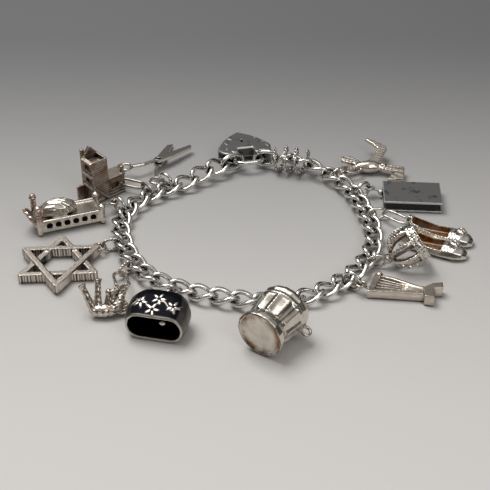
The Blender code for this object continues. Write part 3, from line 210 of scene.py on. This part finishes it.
def silver(
    name, bright, dark, recess, roughness, warm="8A5A34", scratch=0.35, open_from=0.42, open_to=0.93,
):
    """Sterling silver with old tarnish and painted shade: dark in what is sheltered, which is tarnish kept
    in hollows and shade painted where parts hide each other, and bright on what rubs and where a highlight
    is painted.
    The recess is how deep a hollow keeps its tarnish and its painted shade, and the scratch how wide the
    marks of wear are, in mm."""
    material = bpy.data.materials.new(name)
    material.use_nodes = True
    tree = material.node_tree
    shader = tree.nodes["Principled BSDF"]
    shader.inputs["Metallic"].default_value = 1.0
    place = add_node(tree, "TexCoord").outputs["Object"]
    # Ambient occlusion finds what is sheltered; the dark it brings is painted shade where parts hide each
    # other, and old tarnish in the hollows.
    shelter = add_node(tree, "AmbientOcclusion", values={"Distance": recess * MM}, samples=8).outputs["AO"]
    patches = add_node(
        tree, "TexNoise", {"Vector": place}, {"Scale": 1 / TARNISH_PATCH, "Detail": 3.0},
    ).outputs[0]
    uneven = add_node(
        tree, "MapRange", {"Value": patches},
        {"From Min": 0.3, "From Max": 0.7, "To Min": -0.16, "To Max": 0.16},
    ).outputs[0]
    opened = add_node(
        tree, "MapRange",
        {"Value": add_node(tree, "Math", {0: shelter, 1: uneven}, operation="ADD").outputs[0]},
        {"From Min": open_from, "From Max": open_to},
    ).outputs[0]
    marks = {mark: add_node(tree, "Attribute", attribute_name=mark).outputs["Fac"]
             for mark in ("wear_and_highlight", "tarnish_and_shade", "stained")}
    # Tarnish and painted shade darken the skin; wear and painted highlights brighten it.
    unshaded_and_clean = add_node(tree, "Math", {0: opened, 1: marks["tarnish_and_shade"]}, operation="SUBTRACT").outputs[0]
    worn_and_lit = add_node(
        tree, "Math", {0: unshaded_and_clean, 1: marks["wear_and_highlight"]}, operation="ADD", use_clamp=True,
    ).outputs[0]
    blotched = add_node(
        tree, "MapRange", {"Value": patches},
        {"From Min": 0.36, "From Max": 0.62, "To Min": 0.35, "To Max": 1.3},
    ).outputs[0]
    stain = add_node(
        tree, "Math", {0: marks["stained"], 1: blotched}, operation="MULTIPLY", use_clamp=True,
    ).outputs[0]
    skin = blended(tree, stain, bright, warm)
    tree.links.new(blended(tree, worn_and_lit, dark, skin), shader.inputs["Base Color"])
    matt = add_node(
        tree, "MapRange", {"Value": worn_and_lit},
        {"To Min": min(roughness + TARNISH_MATT, MATT_LIMIT), "To Max": roughness},
    ).outputs[0]
    tree.links.new(matt, shader.inputs["Roughness"])
    wear = add_node(
        tree, "TexNoise", {"Vector": place}, {"Scale": 1 / (scratch * MM), "Detail": 2.0},
    ).outputs[0]
    dents = add_node(tree, "Bump", {"Height": wear}, {"Strength": DENT_STRENGTH, "Distance": DENT_DEPTH})
    tree.links.new(dents.outputs[0], shader.inputs["Normal"])
    return material


# Drawn wire is smooth and polished: sharp highlights on its rounds, and dark only where it is sheltered,
# which is painted shade over some old tarnish.
drawn_silver = silver("drawn_silver_wire", POLISHED, TARNISH_AND_SHADE, 1.5, 0.2)


def smooth_route(points, steps=16):
    """Points along a smooth curve through the given ones."""
    points = [Vector(p) for p in points]
    ends = [2 * points[0] - points[1], *points, 2 * points[-1] - points[-2]]
    route = []
    for before, a, b, after in zip(ends, ends[1:], ends[2:], ends[3:]):
        for i in range(steps):
            t = i / steps
            pull = (b - before) * t + (2 * before - 5 * a + 4 * b - after) * t**2
            route.append((2 * a + pull + (3 * a - before - 3 * b + after) * t**3) / 2)
    return route + [points[-1]]


def along(route, distance):
    """The point and direction at a distance along the route."""
    for a, b in zip(route, route[1:]):
        step = (b - a).length
        if distance <= step:
            return a + (b - a) * (distance / step), (b - a).normalized()
        distance -= step
    return route[-1], (route[-1] - route[-2]).normalized()


def link_loop(length, twist, count, start=0.0, keep=1.0):
    """The centreline of one curb link, with its length along X and its side wires twisted about it.
    Keep is the share of its reach that is left, where a smooth loop lies on the CAD link's flats."""
    half_length = keep * (length - LINK_WIRE) / 2
    half_width = keep * (LINK_WIDTH - LINK_WIRE) / 2
    points = []
    for k in range(count):
        turn = start + 2 * pi * k / count
        lean = twist / 2 * cos(turn)
        side = half_width * sin(turn)
        points.append(Vector((half_length * cos(turn), side * cos(lean), side * sin(lean))))
    return points


def drawn_wire(name, routes, thickness, finish, closed=True, roundness=3):
    """Round wire along each route, with its seam closed where the real one is soldered."""
    curve = bpy.data.curves.new(name, "CURVE")
    curve.dimensions = "3D"
    curve.bevel_depth = thickness / 2
    curve.bevel_resolution = roundness
    curve.use_fill_caps = not closed
    for route in routes:
        spline = curve.splines.new("POLY")
        spline.points.add(len(route) - 1)
        for point, place in zip(spline.points, route):
            point.co = (*place, 1)
        spline.use_cyclic_u = closed
        spline.use_smooth = True
    bent = bpy.data.objects.new(name + "_bent", curve)
    mesh = bpy.data.meshes.new_from_object(bent)
    bpy.data.objects.remove(bent)
    mesh.materials.clear()
    mesh.materials.append(finish)
    piece = bpy.data.objects.new(name, mesh)
    bpy.context.scene.collection.objects.link(piece)
    return piece


def fix(piece, node, body="bracelet"):
    """The piece stands for its CAD node and moves with that node's body."""
    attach(piece, body)
    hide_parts(node)


chain_route = smooth_route([(x * MM, y * MM, z * MM) for x, y, z in CHAIN_ROUTE])
link_pitch = sum((b - a).length for a, b in zip(chain_route, chain_route[1:])) / (LINK_COUNT - 1)
link_length = link_pitch + 2 * LINK_WIRE + LINK_PLAY
link_places = []
for k in range(LINK_COUNT):
    from_end = min(k, LINK_COUNT - 1 - k)
    twist, roll = LINK_TWIST, 0
    if from_end == 0:
        twist, roll = 0, pi / 2
    elif from_end <= END_LINKS:
        side = -1 if k < LINK_COUNT / 2 else 1
        roll = side * END_ROLL * (END_LINKS - from_end + 0.5) / (END_LINKS - 0.5)
    turned = Matrix.Rotation(roll, 4, "X")
    faceted = link_loop(link_length, twist, LINK_CORNERS, pi / LINK_CORNERS)
    reach = max((turned @ point).z for point in faceted) + LINK_WIRE / 2
    point, heading = along(chain_route, k * link_pitch)
    level = Matrix.Translation((point.x, point.y, point.z + reach + CHAIN_LIFT))
    level = level @ Matrix.Rotation(atan2(heading.y, heading.x), 4, "Z")
    slope = Matrix.Rotation(-atan2(heading.z, hypot(heading.x, heading.y)), 4, "Y")
    smooth = link_loop(link_length, twist, LINK_SMOOTH, keep=LINK_KEEP)
    loop = [level @ slope @ turned @ p for p in smooth]
    link = drawn_wire(f"curb_link_{k + 1:02d}", [loop], LINK_WIRE, drawn_silver)
    fix(link, f"link_{k + 1:02d}")
    link_places.append(level.translation.copy())

# Jump rings
# Four round rings of plain wire, cut from a coil and soldered shut, that carry the book, the harp, the
# bed and the scissors. They stand on edge through the outer wire of a link.
RING_WIRE = 0.85 * MM
RING_DIAMETER = 5.2 * MM


def ring_loop(node, count=40):
    """A true circle through the middle of the faceted ring, in the plane that the ring lies in."""
    points = np.array([v.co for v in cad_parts[node].data.vertices])
    middle = points.mean(0)
    across, up = np.linalg.svd(points - middle, full_matrices=False)[2][:2]
    radius = (RING_DIAMETER - RING_WIRE) / 2
    turns = [2 * pi * k / count for k in range(count)]
    return [Vector(middle + radius * (cos(t) * across + sin(t) * up)) for t in turns]


for charm in ("book", "harp", "bed", "scissors"):
    ring = drawn_wire(f"jump_ring_{charm}", [ring_loop(f"{charm}_ring")], RING_WIRE, drawn_silver)
    fix(ring, f"{charm}_ring")

# Padlock
# A heart padlock made from two stamped plates with a rim between them, brushed on its face. A rivet
# holds the shackle in one lobe, and short raised dashes run round the edge of the plate.
PLATE = "DEDCD8"
PLATE_DARK = "4A4B4C"
PLATE_TARNISH = 0.8
DASH_LENGTH = 1.2
DASH_WIDTH = 0.42
DASHES = [
    (-5.6, -2.9, 80), (-5.2, 0.4, 103), (-3.7, 3.2, 130), (-3.7, -5.5, 0),
    (5.6, -2.9, 100), (5.2, 0.4, 77), (3.7, 3.2, 50), (3.7, -5.5, 0),
]
DASH_HEIGHT = 0.11
PAINTED_EDGE_HIGHLIGHT = 0.85
KEYHOLE_Y = 1.75
KEYHOLE_RADIUS = 0.75
KEYHOLE_SLOT = 0.8
KEYHOLE_LENGTH = 2.0
PADLOCK_TURN = 12


def settle(piece, finish, sharp=radians(40)):
    """Applies the piece's modifiers and shades it smooth between its sharp edges."""
    graph = bpy.context.evaluated_depsgraph_get()
    mesh = bpy.data.meshes.new_from_object(piece.evaluated_get(graph))
    piece.modifiers.clear()
    piece.data = mesh
    mesh.materials.clear()
    mesh.materials.append(finish)
    mesh.polygons.foreach_set("use_smooth", [True] * len(mesh.polygons))
    mesh.polygons.foreach_set("material_index", [0] * len(mesh.polygons))
    mesh.set_sharp_from_angle(angle=sharp)
    return piece


def cast(name, node, grain, soften, finish):
    """A copy of a CAD solid with its facets melted into one skin, as a lost-wax casting has."""
    piece = bpy.data.objects.new(name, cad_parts[node].data.copy())
    bpy.context.scene.collection.objects.link(piece)
    skin = piece.modifiers.new("skin", "REMESH")
    skin.mode = "VOXEL"
    skin.voxel_size = grain
    soft = piece.modifiers.new("soften", "SMOOTH")
    soft.factor = 0.5
    soft.iterations = soften
    return settle(piece, finish, radians(180))


def carve(piece, place, shape):
    """Moves the skin in or out and marks it, as shape(x, y, z, nx, ny, nz) says in the charm's own mm:
    it gives heights in mm and the shares made bright by wear and by painted highlight, darkened by tarnish
    and by painted shade, and stained."""
    mesh = piece.data
    count = len(mesh.vertices)
    points, facing = np.empty(count * 3), np.empty(count * 3)
    mesh.vertices.foreach_get("co", points)
    mesh.vertex_normals.foreach_get("vector", facing)
    points, facing = points.reshape(-1, 3), facing.reshape(-1, 3)
    turn = np.array(place.to_3x3())
    local = (points - np.array(place.translation)) @ turn / MM
    facing_local = facing @ turn
    raised, *marks = shape(*local.T, *facing_local.T)
    points += facing * (np.broadcast_to(raised, count) * MM)[:, None]
    mesh.vertices.foreach_set("co", points.ravel())
    for mark, share in zip(("wear_and_highlight", "tarnish_and_shade", "stained"), marks):
        layer = mesh.attributes.new(mark, "FLOAT", "POINT")
        share = np.clip(np.broadcast_to(share, count), 0, 1).astype(np.float32)
        layer.data.foreach_set("value", share)
    mesh.update()


def lock_face(x, y, z, nx, ny, nz):
    """Raised dashes round the face, rubbed bright on top, an edge painted bright all round as a highlight,
    and the keyhole kept out of it, black.
    """
    top = np.clip(nz * 4 - 3, 0, 1) * (z > 0)
    dash = np.zeros_like(x)
    for at_x, at_y, turn in DASHES:
        ahead = (x - at_x) * cos(radians(turn)) + (y - at_y) * sin(radians(turn))
        aside = (y - at_y) * cos(radians(turn)) - (x - at_x) * sin(radians(turn))
        reach = np.hypot(np.maximum(np.abs(ahead) - DASH_LENGTH / 2, 0), aside)
        dash = np.maximum(dash, np.clip(1.5 - reach / (DASH_WIDTH / 2), 0, 1))
    edge = (np.abs(nz) < 0.9) & (np.abs(nz) > 0.2)
    from_slot = np.abs(y - KEYHOLE_Y + KEYHOLE_LENGTH / 2)
    slot = (np.abs(x) < KEYHOLE_SLOT / 2) & (from_slot < KEYHOLE_LENGTH / 2)
    keyhole = slot | (np.hypot(x, y - KEYHOLE_Y) < KEYHOLE_RADIUS)
    # The dashes' tops are bright from wear; the slanted edge all round is a painted highlight.
    wear_and_highlight = np.maximum(dash * top, PAINTED_EDGE_HIGHLIGHT * edge) * ~keyhole
    return DASH_HEIGHT * dash * top, wear_and_highlight, PLATE_TARNISH, 0.0


# Brushed plate is grey and half matt: fine strokes break up its gloss, and old tarnish greys it.
brushed_plate = silver("brushed_silver_plate", PLATE, PLATE_DARK, 1.1, 0.4, scratch=0.12)
padlock = cast("heart_padlock", "padlock_body", 0.11 * MM, 2, brushed_plate)
low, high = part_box("padlock_body")
lock_turn = Matrix.Rotation(radians(PADLOCK_TURN), 4, "Z")
carve(padlock, Matrix.Translation((low + high) / 2) @ lock_turn, lock_face)
fix(padlock, "padlock_body")

BOW_EASE = 0.07


def eased_bow(x, y, z, nx, ny, nz):
    """The bow is drawn thinner all round than the CAD's, to clear the smooth end links when it swings."""
    plain = np.zeros_like(x)
    return plain - BOW_EASE, plain, plain, plain


shackle = cast("padlock_bow", "padlock_shackle", 0.1 * MM, 6, drawn_silver)
carve(shackle, Matrix.Identity(4), eased_bow)
fix(shackle, "padlock_shackle", "shackle")

# Safety chain
# A fine trace chain of round silver wire, wound three times round the links beside the padlock. Each
# of its links is turned a quarter from the last, on the path of the CAD's tube.
TRACE_WIRE = 0.34 * MM
TRACE_WIDTH = 1.08 * MM
TRACE_LENGTH = 1.5 * MM
TRACE_HOLD = 2.4 * TRACE_WIRE
TRACE_POINTS = 16
SAFETY_THICKNESS = 1.1 * MM
SAFETY_TURNS = 3
SAFETY_START = 0.55
SAFETY_END = 2.3
SAFETY_FLATNESS = 0.92
SAFETY_LINKS = 4
PASSING_GAP = 0.12 * MM
TABLE_GAP = 0.03 * MM


def trace_route(steps=160):
    """The middle of the fine chain, round the last links of the curb chain."""
    radius = SAFETY_THICKNESS / 2
    side = LINK_WIDTH / 2 + PASSING_GAP + radius
    route = link_places[::-1][:SAFETY_LINKS]
    points = []
    for i in range(steps + 1):
        share = i / steps
        swing = share * SAFETY_TURNS * 2 * pi
        place = SAFETY_START + (SAFETY_END - SAFETY_START) * share
        k = int(place)
        spot = route[k].lerp(route[k + 1], place - k)
        across = (route[k + 1] - route[k]).normalized().cross(Vector((0, 0, 1)))
        lift = max(spot.z + cos(swing) * side * SAFETY_FLATNESS, radius + TABLE_GAP)
        sway = side * sin(swing)
        points.append(Vector((spot.x + across.x * sway, spot.y + across.y * sway, lift)))
    return points


winding = trace_route()
trace_reach = sum((b - a).length for a, b in zip(winding, winding[1:]))
trace_pitch = TRACE_LENGTH - TRACE_HOLD
trace_loops = []
for k in range(int(trace_reach / trace_pitch)):
    middle, ahead = along(winding, (k + 0.5) * trace_pitch)
    out = ahead.orthogonal().normalized()
    out = Matrix.Rotation(radians(45) + k * pi / 2, 3, ahead) @ out
    loop = []
    for i in range(TRACE_POINTS):
        turn = 2 * pi * i / TRACE_POINTS
        reach = (TRACE_LENGTH - TRACE_WIRE) / 2 * cos(turn)
        loop.append(middle + ahead * reach + out * ((TRACE_WIDTH - TRACE_WIRE) / 2 * sin(turn)))
    trace_loops.append(loop)
trace = drawn_wire("safety_chain_links", trace_loops, TRACE_WIRE, drawn_silver, roundness=1)
fix(trace, "safety_chain")

# Swallow
# A small cast bird in flight, lying on its breast. Its feathers were cut into the wax as fine lines
# along the wings and the forked tail.
CAST_BRIGHT = "E6E0D6"
CAST_DARK = "2E2722"
BIRD_PLACE = (33.5, 29.0, 0)
FEATHER_DEPTH = 0.045


def charm_place(x, y, heading):
    """A charm's own frame on the table, in metres."""
    return Matrix.Translation((x * MM, y * MM, 0)) @ Matrix.Rotation(radians(heading), 4, "Z")


def swallow(x, y, z, nx, ny, nz):
    """Feather lines fan out from the breast on the wings and run back along the tail."""
    wings = np.clip((np.hypot(x, y) - 2.4) / 1.5, 0, 1)
    lines = np.sin(2 * pi * np.hypot(x - 1.0, y + 0.6) / 0.95) * 0.5
    barbs = np.sin(np.arctan2(y, x) * 34) * 0.5
    height = FEATHER_DEPTH * wings * (lines + 1.4 * barbs)
    return height, 0.22 + 3 * height, 0.3 * wings * (lines + barbs < -0.3), 0.22


# Cast silver keeps a soft, uneven gloss, warm with old tarnish, and is dark in every cut.
cast_silver = silver("cast_sterling_silver", CAST_BRIGHT, CAST_DARK, 1.0, 0.26, warm="9A6B40")
bird = cast("cast_swallow", "bird", 0.14 * MM, 5, cast_silver)
carve(bird, charm_place(*BIRD_PLACE), swallow)
fix(bird, "bird")

# Book
# A closed book folded from plate, brushed dull on the cover, with a highlight painted bright at its edges.
# The block of pages is set back, and painted black as the shade in it.
BOOK_HALF_LENGTH = 7.4
BOOK_HALF_DEPTH = 5.1
BOOK_PLACE = (43.1, 13.8, -4)
PAGES_LOW = 0.7
PAGES_HIGH = 2.3
PAGES_INSET = 0.12


def book_skin(x, y, z, nx, ny, nz):
    """Pages painted black as shade inside the cover's rim, edges painted bright as a highlight, a bright
    lug, and a dull cover.
    """
    over_x, over_y = BOOK_HALF_LENGTH - np.abs(x), BOOK_HALF_DEPTH - np.abs(y)
    pages = (z > PAGES_LOW) & (z < PAGES_HIGH) & (y < BOOK_HALF_DEPTH - 0.8)
    pages &= (over_x > PAGES_INSET) & (over_y > PAGES_INSET)
    edges = (np.minimum(over_x, over_y) < 0.16) & ~pages
    lug = x < -BOOK_HALF_LENGTH - 0.05
    # The pages take the full dark as painted shade, and the edges a painted highlight.
    return 0.0, np.where(lug, 0.8, PAINTED_EDGE_HIGHLIGHT * edges), np.where(pages, 1.0, PLATE_TARNISH), 0.0


book = cast("plate_book", "book", 0.11 * MM, 1, brushed_plate)
carve(book, charm_place(*BOOK_PLACE), book_skin)
fix(book, "book")

# Slippers
# A pair of court slippers cast as one, gilt worn brown inside, with a roped rim round each opening
# and a round rosette on each toe.
SLIPPER_SPACING = 5.9
SLIPPER_PLACE = (46.6, -5.6, -24)
ROSETTE_X = 5.2
ROSETTE_RADIUS = 2.2
ROPE_PITCH = 0.75


def slippers(x, y, z, nx, ny, nz):
    """Brown gilt inside, a roped rim round each opening and a petalled rosette on each toe."""
    side = np.where(y > 0, SLIPPER_SPACING / 2, -SLIPPER_SPACING / 2)
    inside = ((y - side) * ny + (z - 3.2) * nz * 0.4 < -0.12) & (z > 0.9) & (x < 5)
    floor = (nz > 0.6) & (z < 2.0) & (np.abs(y - side) < 2.3) & (x > -7) & (x < 4.2)
    gilt = (inside | floor) & (x > -7.8)
    rim = np.clip((nz - 0.45) * 2, 0, 1) * (z > 2.0) * (x > -8.4) * (x < 4.4) * ~gilt
    rope = rim * np.sin(2 * pi * (x + 0.6 * y) / ROPE_PITCH)
    toe = np.clip(1 - np.hypot(x - ROSETTE_X, y - side) / ROSETTE_RADIUS, 0, 1) * (nz > 0)
    petals = toe * np.cos(5 * np.arctan2(y - side, x - ROSETTE_X))
    return 0.09 * rope + 0.14 * petals, rim * 0.5, 0.2 * gilt, gilt * 0.75


# Worn gilding on cast silver shows as a golden brown where no finger reaches, and bright silver outside.
slipper_silver = silver(
    "gilt_worn_cast_silver", CAST_BRIGHT, "2A1C12", 1.0, 0.25, warm="A9702F", open_from=0.1,
)
shoes = cast("cast_slippers", "shoes", 0.16 * MM, 5, slipper_silver)
carve(shoes, charm_place(*SLIPPER_PLACE), slippers)
fix(shoes, "shoes")

# Crown
# A hollow cast crown leaning on its orb, with a band and eight arches beaded all over, and brown
# tarnish inside. The real band's raised lines aren't drawn.
low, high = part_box("crown")
crown_middle = (low + high) / 2
BEAD_PITCH = 1.1
BEAD_HEIGHT = 0.11


def crown_skin(x, y, z, nx, ny, nz):
    """Beads over the outside, and a stained, tarnished inside."""
    inside = (x * nx + y * ny + z * nz) < -0.3
    beads = 1.0
    for across in (x, y, z):
        beads = beads * np.sin(2 * pi * across / BEAD_PITCH)
    return BEAD_HEIGHT * beads * ~inside, 0.2 * ~inside, 0.45 * inside, 0.6 * inside


# The crown's silver is the brightest of the castings outside, and nearly black brown in its hollow.
crown_silver = silver("cast_crown_silver", CAST_BRIGHT, "24170F", 1.3, 0.22, warm="6E3F20", open_from=0.3)
crown = cast("cast_crown", "crown", 0.15 * MM, 4, crown_silver)
carve(crown, Matrix.Translation(crown_middle), crown_skin)
fix(crown, "crown")

# Harp
# A flat cast harp with five strings, a scrolled neck and a square foot, warm in tone, with shade
# painted on its lower half next to the table, the ground behind the strings among it.
HARP_PLACE = (27.6, -27.4, -5)
# Cast silver of a yellower warmth than the rest, and a little duller.
harp_silver = silver("cast_harp_silver", CAST_BRIGHT, "33261B", 0.8, 0.27, warm="9B7448")


def harp_skin(x, y, z, nx, ny, nz):
    """Faint scrolls on the neck, and shade painted on everything lower than 1.2 mm, the ground behind the
    strings among it.
    """
    scroll = np.clip(nz, 0, 1) * np.sin(2 * pi * x / 1.5) * (x < -3)
    # Everything lower than 1.2 mm is darkened as painted shade next to the table.
    return 0.05 * scroll, 0.1, 0.25 * (z < 1.2), 0.3


harp = cast("cast_harp", "harp", 0.13 * MM, 3, harp_silver)
carve(harp, charm_place(*HARP_PLACE), harp_skin)
fix(harp, "harp")

# Pot
# A squat lidded pot cast hollow and closed with a plain disc, which shows at the front: matt, with a
# brown stain left by the solder's flux. The ribs and belts above it are worn bright.
POT_PLACE = (2.9, -47.3, -34)
DISC_RADIUS = 4.8
DISC_MIDDLE_Z = 5.6
STAIN_WIDTH = 1.4


def pot_skin(x, y, z, nx, ny, nz):
    """A matt front disc with a brown stain that deepens towards its edge."""
    disc = np.clip((-ny - 0.75) * 6, 0, 1)
    edge = np.clip((np.hypot(x, z - DISC_MIDDLE_Z) - DISC_RADIUS + STAIN_WIDTH) / STAIN_WIDTH, 0, 1)
    stain = disc * (0.15 + 0.6 * edge)
    return 0.0, 0.4 * disc, 0.0, 0.14 + stain


# Cast silver with a bright, broken gloss on its ribs and a browner stain than the other castings.
pot_silver = silver("cast_pot_silver", CAST_BRIGHT, CAST_DARK, 1.1, 0.27, warm="7A5A3C")
pot = cast("cast_pot", "pot", 0.17 * MM, 5, pot_silver)
carve(pot, charm_place(*POT_PLACE), pot_skin)
fix(pot, "pot")

# Bell
# A cowbell cast with raised flowers on its back, which are rubbed bright over a ground that was
# blackened on purpose. The lip is bright and the inside is black, with a small clapper hung in it.
FLOWERS = [(-3.6, 3.2), (0.2, 4.6), (3.8, 3.0), (-0.6, 1.7)]
FLOWER_RADIUS = 1.7
PETALS = 5
RELIEF = 0.13
BELL_MIDDLE_Z = 4.2
BELL_PLACE = (-19.6, -42.6, -13)


def bell_skin(x, y, z, nx, ny, nz):
    """Raised flowers on a stem, a bright lip and back, and black everywhere else."""
    inside = (x * nx + (z - BELL_MIDDLE_Z) * nz < 0) & (y > 0.3) & (y < 8.0)
    petals = np.zeros_like(x)
    for at_x, at_y in FLOWERS:
        reach = np.hypot(x - at_x, y - at_y)
        spread = FLOWER_RADIUS * (0.62 + 0.38 * np.cos(PETALS * np.arctan2(y - at_y, x - at_x)))
        petals = np.maximum(petals, np.clip((spread - reach) / 0.35, 0, 1) * (reach > 0.35))
    stems = np.clip(1 - np.abs(y - 3.1 - np.sin(x * 1.3)) / 0.3, 0, 1) * (np.abs(x) < 5.6)
    raised = np.maximum(petals, 0.7 * stems) * np.clip(nz * 2.5 - 0.8, 0, 1) * ~inside
    lip = np.clip(1 - np.abs(y + 0.05) / 0.6, 0, 1) * ~inside
    back = (y > 8.2) * 0.7
    sides = np.clip(np.abs(nx) * 1.4 - 0.5, 0, 1) * 0.35
    wear_and_highlight = np.maximum.reduce([raised * 0.95, lip, back, sides * ~inside])
    return RELIEF * raised, wear_and_highlight, 1.0, 0.12


# Silver blackened on purpose: blue black, and bright only where it is rubbed.
bell_silver = silver("blackened_cast_silver", CAST_BRIGHT, "15161A", 1.0, 0.24, open_from=0.1)
bell = cast("cast_cowbell", "bell", 0.15 * MM, 40, bell_silver)
carve(bell, charm_place(*BELL_PLACE), bell_skin)
fix(bell, "bell")
clapper = cast("bell_tongue", "bell_clapper", 0.12 * MM, 3, cast_silver)
fix(clapper, "bell_clapper")

# Horse
# A little cast horse tipped on its back, with its hind legs in the air, a rough mane, and the soft
# edges of a casting that has been handled for years.
HORSE_PLACE = (-31.2, -34.0, 5)


def horse_skin(x, y, z, nx, ny, nz):
    """A rough mane at the neck and a finely uneven coat."""
    mane = (x > 2.2) * np.sin(6 * y + 2 * z) * np.sin(5 * z - 3 * x)
    coat = np.sin(x * 5.1 + y * 3) * np.sin(z * 4.7)
    return 0.1 * mane + 0.04 * coat, 0.12, 0.15, 0.28


horse = cast("cast_horse", "horse", 0.15 * MM, 5, cast_silver)
carve(horse, charm_place(*HORSE_PLACE), horse_skin)
fix(horse, "horse")

# Star
# Two interlaced triangles of bar, a common old sign, cast with a bark finish: rough upright ridges down
# every side and a grainy top, dark in between.
STAR_PLACE = (-43.6, -15.7, 3.5)
RIDGE_HEIGHT = 0.07
GRAIN_HEIGHT = 0.065


def bark(x, y, z, nx, ny, nz):
    """Upright ridges of uneven width on the sides, and grain on the top."""
    sides = np.clip(1 - np.abs(nz) * 1.4, 0, 1)
    along_side = x - y * 0.63
    ridges = np.sin(along_side * 9.5) + 0.7 * np.sin(along_side * 17.3 + 1.2)
    ridges += 0.5 * np.sin(x * 6.1 + y * 8.3)
    grain = np.sin(x * 7.7 + y * 3.1) * np.sin(y * 8.9 - x * 2.3) + 0.6 * np.sin(x * 13.1 - y * 11.7)
    height = sides * ridges * RIDGE_HEIGHT + (1 - sides) * grain * GRAIN_HEIGHT
    return height, np.clip(height * 4, 0, 0.5), np.clip(0.15 - height * 9, 0, 0.85), 0.25


# Bark-finished silver is matt and grey, with dark ground between the ridges.
star_silver = silver("bark_cast_silver", CAST_BRIGHT, CAST_DARK, 0.9, 0.3)
star = cast("cast_star", "star", 0.15 * MM, 2, star_silver)
carve(star, charm_place(*STAR_PLACE), bark)
fix(star, "star")

# Bed
# A cast bedstead with a row of holes along its near rail, ringed posts, a pointed headboard and a
# striped quilt. Its head has kept a reddish brown tarnish.
BED_PLACE = (-44.2, 4.0, 21.5)
RAIL_HOLES = 6
RAIL_HOLE_SPACING = 2.21
RAIL_HOLE_RADIUS = 0.75
RAIL_HOLE_DEPTH = 0.42
RAIL_HOLE_HEIGHT = 2.45
RAIL_FACE = -3.5
RAIL_RIM = 0.22
RIM_HEIGHT = 0.09
QUILT_STRIPE = 0.85
POST_RING = 0.8


def bed_skin(x, y, z, nx, ny, nz):
    """A striped quilt, ringed posts, and six holes in the near rail with a raised rim round each, the
    holes painted dark as the shade inside them. The CAD rail has the middle four; the two outer ones are
    sunk here."""
    quilt = np.clip((nz - 0.15) * 3, 0, 1) * (np.abs(y) < 3.1) * (z > 4.3) * (x < 6)
    stripes = np.sin(2 * pi * (y + 0.35 * x) / QUILT_STRIPE) * quilt
    rings = np.sin(2 * pi * z / POST_RING) * (np.abs(x) > 7.2) * (z > 4.6)
    head = np.clip((-x - 5.6) / 2, 0, 1) * (z > 2.5)
    near = (y < RAIL_FACE + 0.6) & (ny < 0.4) & (z > 1) & (z < 4)
    face = near & (y < RAIL_FACE + 0.15) & (ny < -0.6)
    sunk, rims, holes = np.zeros_like(x), np.zeros_like(x), np.zeros_like(near)
    for k in range(RAIL_HOLES):
        reach = np.hypot(x - (k - (RAIL_HOLES - 1) / 2) * RAIL_HOLE_SPACING, z - RAIL_HOLE_HEIGHT)
        holes |= near & (reach < RAIL_HOLE_RADIUS * 1.02)
        rim = np.clip(1 - np.abs(reach - RAIL_HOLE_RADIUS - RAIL_RIM) / 0.2, 0, 1)
        rims = np.maximum(rims, rim * face)
        if k in (0, RAIL_HOLES - 1):
            sunk = np.maximum(sunk, face * np.clip((RAIL_HOLE_RADIUS - reach) / 0.12, 0, 1))
    # The holes are painted fully dark as shade; the quilt's grooves keep a little tarnish.
    hole_shade_and_tarnish = np.maximum(0.3 * (stripes < -0.3), holes)
    height = 0.06 * stripes + 0.08 * rings + RIM_HEIGHT * rims - RAIL_HOLE_DEPTH * sunk
    return height, 0.25 * quilt + 0.3 * rims * ~holes, hole_shade_and_tarnish, 0.14 + 0.32 * head


# Cast silver with darker hollows than the rest, and a reddish stain.
bed_silver = silver("cast_bed_silver", CAST_BRIGHT, "221A14", 1.0, 0.27, warm="9A5E38")
bed = cast("cast_bed", "bed", 0.14 * MM, 3, bed_silver)
carve(bed, charm_place(*BED_PLACE), bed_skin)
fix(bed, "bed")

# House
# A timber house standing on its plate. The boards were ruled into the wax as level grooves, and the
# tarnish in them is brown.
BOARD = 0.62
BOARD_GROOVE = 0.11
SHINGLE = 0.7
HOUSE_PLACE = (-38.6, 12.8, 42)


def boards(x, y, z, nx, ny, nz):
    """Level grooves round the walls and shingles on the tower's roof."""
    walls = np.clip(1 - np.abs(nz) * 2, 0, 1) * (z > 1.0)
    groove = np.clip(np.cos(2 * pi * z / BOARD) - 0.35, 0, 1) * walls
    shingles = np.clip(nz, 0, 1) * np.clip(np.sin(2 * pi * (x + y) / SHINGLE), 0, 1) * (z > 10)
    return -BOARD_GROOVE * groove + 0.05 * shingles, 0.0, 0.12 + 0.8 * groove, 0.2 + 0.5 * walls


# The house is the brownest and most matt of the castings.
house_silver = silver("cast_house_silver", "D9D0C4", "241A13", 1.2, 0.32, warm="8B6344")
house = cast("cast_house", "house", 0.13 * MM, 2, house_silver)
carve(house, charm_place(*HOUSE_PLACE), boards)
fix(house, "house")

# Scissors
# A working pair: two flat halves cut from plate, each with a blade and a bow of wire, turning on a
# rivet through the lower one.
SCISSORS_GRAIN = 0.1 * MM
for half, body in (("lower", "bracelet"), ("upper", "scissors_half")):
    blade = cast(f"scissors_{half}_blade", f"scissors_{half}_half", SCISSORS_GRAIN, 3, cast_silver)
    fix(blade, f"scissors_{half}_half", body)
